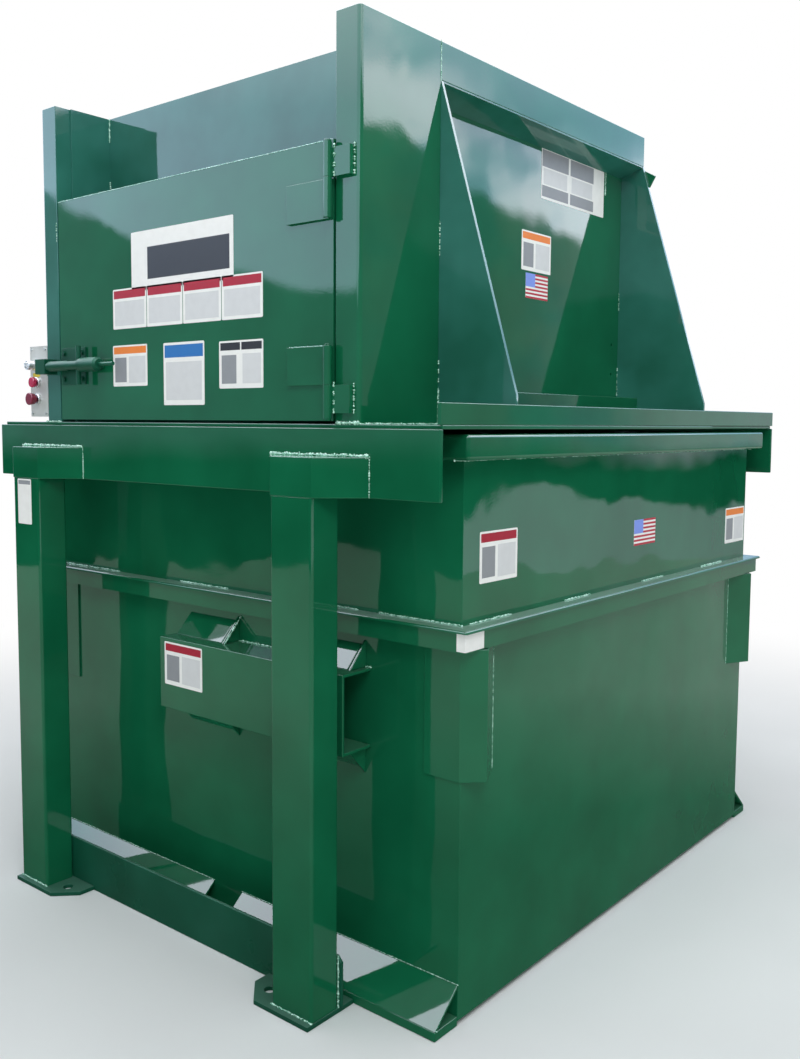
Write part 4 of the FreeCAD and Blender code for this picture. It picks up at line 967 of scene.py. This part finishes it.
def light_wall(scene):
    """A drum of soft light that only reflections see: sky and cloud over a hedge."""
    grid = bmesh.new()
    bmesh.ops.create_cone(grid, cap_ends=True, segments=96, radius1=WALL_RADIUS,
                          radius2=WALL_RADIUS, depth=WALL_HEIGHT)
    bmesh.ops.translate(grid, verts=grid.verts, vec=(0, 0, WALL_HEIGHT / 2))
    bmesh.ops.reverse_faces(grid, faces=grid.faces)
    under = [face for face in grid.faces if face.calc_center_median().z < 0.1]
    bmesh.ops.delete(grid, geom=under, context="FACES_ONLY")
    mesh = bpy.data.meshes.new("light_wall")
    grid.to_mesh(mesh)
    grid.free()
    wall = bpy.data.objects.new("light_wall", mesh)
    wall.visible_camera = False
    wall.visible_shadow = False
    wall.visible_diffuse = False
    scene.collection.objects.link(wall)
    material = bpy.data.materials.new("soft_light_wall")
    material.use_nodes = True
    tree = material.node_tree
    tree.nodes.clear()
    where = add(tree, "ShaderNodeTexCoord").outputs["Object"]
    drift = add(tree, "ShaderNodeTexNoise", [(where, 0)], in_Scale=0.34, in_Detail=5.0,
                in_Roughness=0.58)
    puff = add(tree, "ShaderNodeTexNoise", [(where, 0)], in_Scale=0.75, in_Detail=3.0)
    spot = add(tree, "ShaderNodeSeparateXYZ", [(where, 0)])
    east, north, tall = spot.outputs[:3]
    # Beside runs from what the front faces mirror to what the right faces mirror, and across
    # from behind the machine to behind the camera.
    beside = maths(tree, "ADD", east, north)
    across = maths(tree, "SUBTRACT", east, north)
    right = mapped(tree, beside, -2.0, 2.0)
    far = mapped(tree, across, -9.0, -5.5)
    # The hedge's top falls to the right over the left half and climbs over the right half.
    fall = mapped(tree, across, -2.2, 1.6, 3.7, 2.8)
    climb = mapped(tree, across, -3.0, 1.0, 3.35, 5.0)
    hedge = mapped(tree, right, 0.0, 1.0, fall, climb)
    line = maths(tree, "MULTIPLY_ADD", hedge, far, HEDGE_FAR_RISE)
    rough = maths(tree, "MULTIPLY_ADD", drift, HEDGE_RAGGED, tall)
    over = maths(tree, "SUBTRACT", rough, line)
    clear = mapped(tree, over, 0.0, 0.18, smooth=True)
    # White cloud lies low over the right half; the sky there is darker, and whitens overhead.
    near = mapped(tree, over, 1.5, 0.6, smooth=True)
    puffs = mapped(tree, puff, 0.38, 0.55, smooth=True)
    bank = maths(tree, "MULTIPLY", near, puffs)
    cloud = maths(tree, "MULTIPLY", right, bank)
    high = mapped(tree, tall, 4.9, 7.5)
    blue = maths(tree, "MULTIPLY_ADD", right, BLUE_DROP, BLUE_LEFT)
    white = maths(tree, "MULTIPLY_ADD", cloud, CLOUD_GLOW, blue)
    bright = maths(tree, "MULTIPLY_ADD", high, OVERHEAD_GLOW, white)
    dim = mapped(tree, far, 0.0, 1.0, 0.3, 1.0)
    shown = maths(tree, "MULTIPLY", clear, dim)
    sky = maths(tree, "MULTIPLY", shown, bright)
    # Haze over the hedge's foot, then a strip of pale ground.
    foot = mapped(tree, tall, 1.1, 1.35)
    deep = mapped(tree, across, -3.5, -1.5, 1.0, 0.45)
    thin = mapped(tree, right, 0.0, 1.0, 0.6, deep)
    haze = maths(tree, "MULTIPLY", foot, thin)
    kerb = maths(tree, "MULTIPLY_ADD", puff, KERB_RAGGED, tall)
    strip = mapped(tree, kerb, 0.34, 0.28)
    lit = mapped(tree, across, -4.5, 0.0, 0.7, 1.6)
    beyond = maths(tree, "MULTIPLY", right, lit)
    ground = maths(tree, "MULTIPLY", beyond, strip)
    upper = maths(tree, "MAXIMUM", sky, haze)
    power = maths(tree, "ADD", upper, ground)
    pale = maths(tree, "ADD", cloud, high)
    paler = maths(tree, "ADD", pale, ground)
    grey = maths(tree, "MULTIPLY_ADD", right, -LEFT_PALE, LEFT_PALE)
    palest = maths(tree, "ADD", paler, grey)
    tint = blended(tree, palest, linear("#b3d9ff"), linear("#eef0ff"), 0.0, 1.0)
    light = add(tree, "ShaderNodeEmission", [(power, "Strength"), (tint, "Color")])
    add(tree, "ShaderNodeOutputMaterial", [(light, "Surface")])
    mesh.materials.append(material)


class COMPACTOR_OT_stage(bpy.types.Operator):
    """Pale floor, soft studio light and the camera"""
    bl_idname = "compactor.stage"
    bl_label = "Studio"

    def execute(self, context):
        scene = context.scene
        scene.view_settings.view_transform = "Standard"
        ground = bmesh.new()
        bmesh.ops.create_circle(ground, cap_ends=True, radius=FLOOR_RADIUS, segments=96)
        mesh = bpy.data.meshes.new("studio_floor")
        ground.to_mesh(mesh)
        ground.free()
        floor = bpy.data.objects.new("studio_floor", mesh)
        floor.location.z = -FLOOR_DROP
        scene.collection.objects.link(floor)
        material, tree, shader, where = blank("matt_pale_floor")
        grain = noise(tree, where, 900, 2)
        tree.links.new(blended(tree, grain, linear("#d9dcdd"), linear("#dfe2e3"), 0.3, 0.7),
                       shader.inputs["Base Color"])
        shader.inputs["Roughness"].default_value = 0.9
        shader.inputs["Specular IOR Level"].default_value = 0.1
        # The floor fades into plain white away from the machine.
        away = add(tree, "ShaderNodeVectorMath", [(where, 0)], operation="LENGTH").outputs["Value"]
        fade = mapped(tree, away, 1.6, 4.8, smooth=True)
        white = add(tree, "ShaderNodeEmission", in_Color=(1, 1, 1, 1), in_Strength=1.0)
        both = add(tree, "ShaderNodeMixShader", [(fade, 0), (shader, 1), (white, 2)])
        # Glossy rays see an emitting ground instead of the floor: a painted reflection, dark near
        # the machine as painted shade, pale farther off.
        shade = blended(tree, away, linear("#6c7773"), linear("#d0d6d2"), 1.5, 3.3)
        painted_ground_reflection = add(tree, "ShaderNodeEmission", [(shade, 0)], in_Strength=1.0)
        glossy = add(tree, "ShaderNodeLightPath").outputs["Is Glossy Ray"]
        under = add(tree, "ShaderNodeMixShader", [(glossy, 0), (both, 1), (painted_ground_reflection, 2)])
        tree.links.new(under.outputs[0], tree.nodes["Material Output"].inputs["Surface"])
        mesh.materials.append(material)

        world = bpy.data.worlds.new("studio")
        world.use_nodes = True
        scene.world = world
        sky = world.node_tree
        sky.nodes.clear()
        # The world looks white, and lights the object with about half of that.
        glow = add(sky, "ShaderNodeBackground", in_Color=(*linear("#f4f6f8"), 1), in_Strength=0.52)
        seen = add(sky, "ShaderNodeBackground", in_Color=(1, 1, 1, 1), in_Strength=1.0)
        path = add(sky, "ShaderNodeLightPath").outputs
        direct = maths(sky, "MAXIMUM", path["Is Camera Ray"], path["Is Glossy Ray"])
        shown = maths(sky, "MAXIMUM", direct, path["Is Transmission Ray"])
        either = add(sky, "ShaderNodeMixShader", [(shown, 0), (glow, 1), (seen, 2)])
        add(sky, "ShaderNodeOutputWorld", [(either, "Surface")])
        light_wall(scene)

        for name, place, aim, side, watts in SOFTBOXES:
            lamp = bpy.data.lights.new(name, "AREA")
            lamp.shape = "RECTANGLE"
            lamp.size = side
            lamp.size_y = side
            lamp.energy = watts
            holder = bpy.data.objects.new(name, lamp)
            holder.location = place
            ray = Vector(aim) - Vector(place)
            holder.rotation_euler = ray.to_track_quat("-Z", "Y").to_euler()
            holder.visible_glossy = False
            scene.collection.objects.link(holder)

        lens = bpy.data.cameras.new("view")
        lens.sensor_width = LENS_SENSOR
        lens.lens = LENS_LENGTH
        lens.shift_x, lens.shift_y = LENS_SHIFT
        lens.clip_end = LENS_REACH
        camera = bpy.data.objects.new("view", lens)
        camera.location = CAMERA_PLACE
        camera.rotation_euler = [math.radians(turn) for turn in CAMERA_TURN]
        scene.collection.objects.link(camera)
        scene.camera = camera
        return {"FINISHED"}


STEPS = (COMPACTOR_OT_finishes, COMPACTOR_OT_trees, COMPACTOR_OT_container, COMPACTOR_OT_stand,
         COMPACTOR_OT_hopper, COMPACTOR_OT_door, COMPACTOR_OT_latch, COMPACTOR_OT_controls,
         COMPACTOR_OT_mechanism, COMPACTOR_OT_stickers, COMPACTOR_OT_welds, COMPACTOR_OT_stage)


class COMPACTOR_PT_pieces(bpy.types.Panel):
    """Lists the compactor's settings and pieces"""
    bl_idname = "COMPACTOR_PT_pieces"
    bl_label = "Compactor"
    bl_space_type = "VIEW_3D"
    bl_region_type = "UI"
    bl_category = "Compactor"

    def draw(self, context):
        for group in (context.scene.compactor_finish, context.scene.compactor_sizes):
            for name in group.__annotations__:
                self.layout.prop(group, name)
        for step in STEPS:
            self.layout.operator(step.bl_idname)


CLASSES = (CompactorFinish, CompactorSizes, *STEPS, COMPACTOR_PT_pieces)


def register():
    """Adds the settings, the operators and the panel."""
    for item in CLASSES:
        bpy.utils.register_class(item)
    bpy.types.Scene.compactor_finish = PointerProperty(type=CompactorFinish)
    bpy.types.Scene.compactor_sizes = PointerProperty(type=CompactorSizes)


def unregister():
    """Takes them away again."""
    del bpy.types.Scene.compactor_sizes
    del bpy.types.Scene.compactor_finish
    for item in reversed(CLASSES):
        bpy.utils.unregister_class(item)


def main():
    register()
    for step in STEPS:
        family, name = step.bl_idname.split(".")
        if getattr(getattr(bpy.ops, family), name)() != {"FINISHED"}:
            raise RuntimeError(step.bl_idname + " did not finish")


if __name__ == "__main__":
    main()
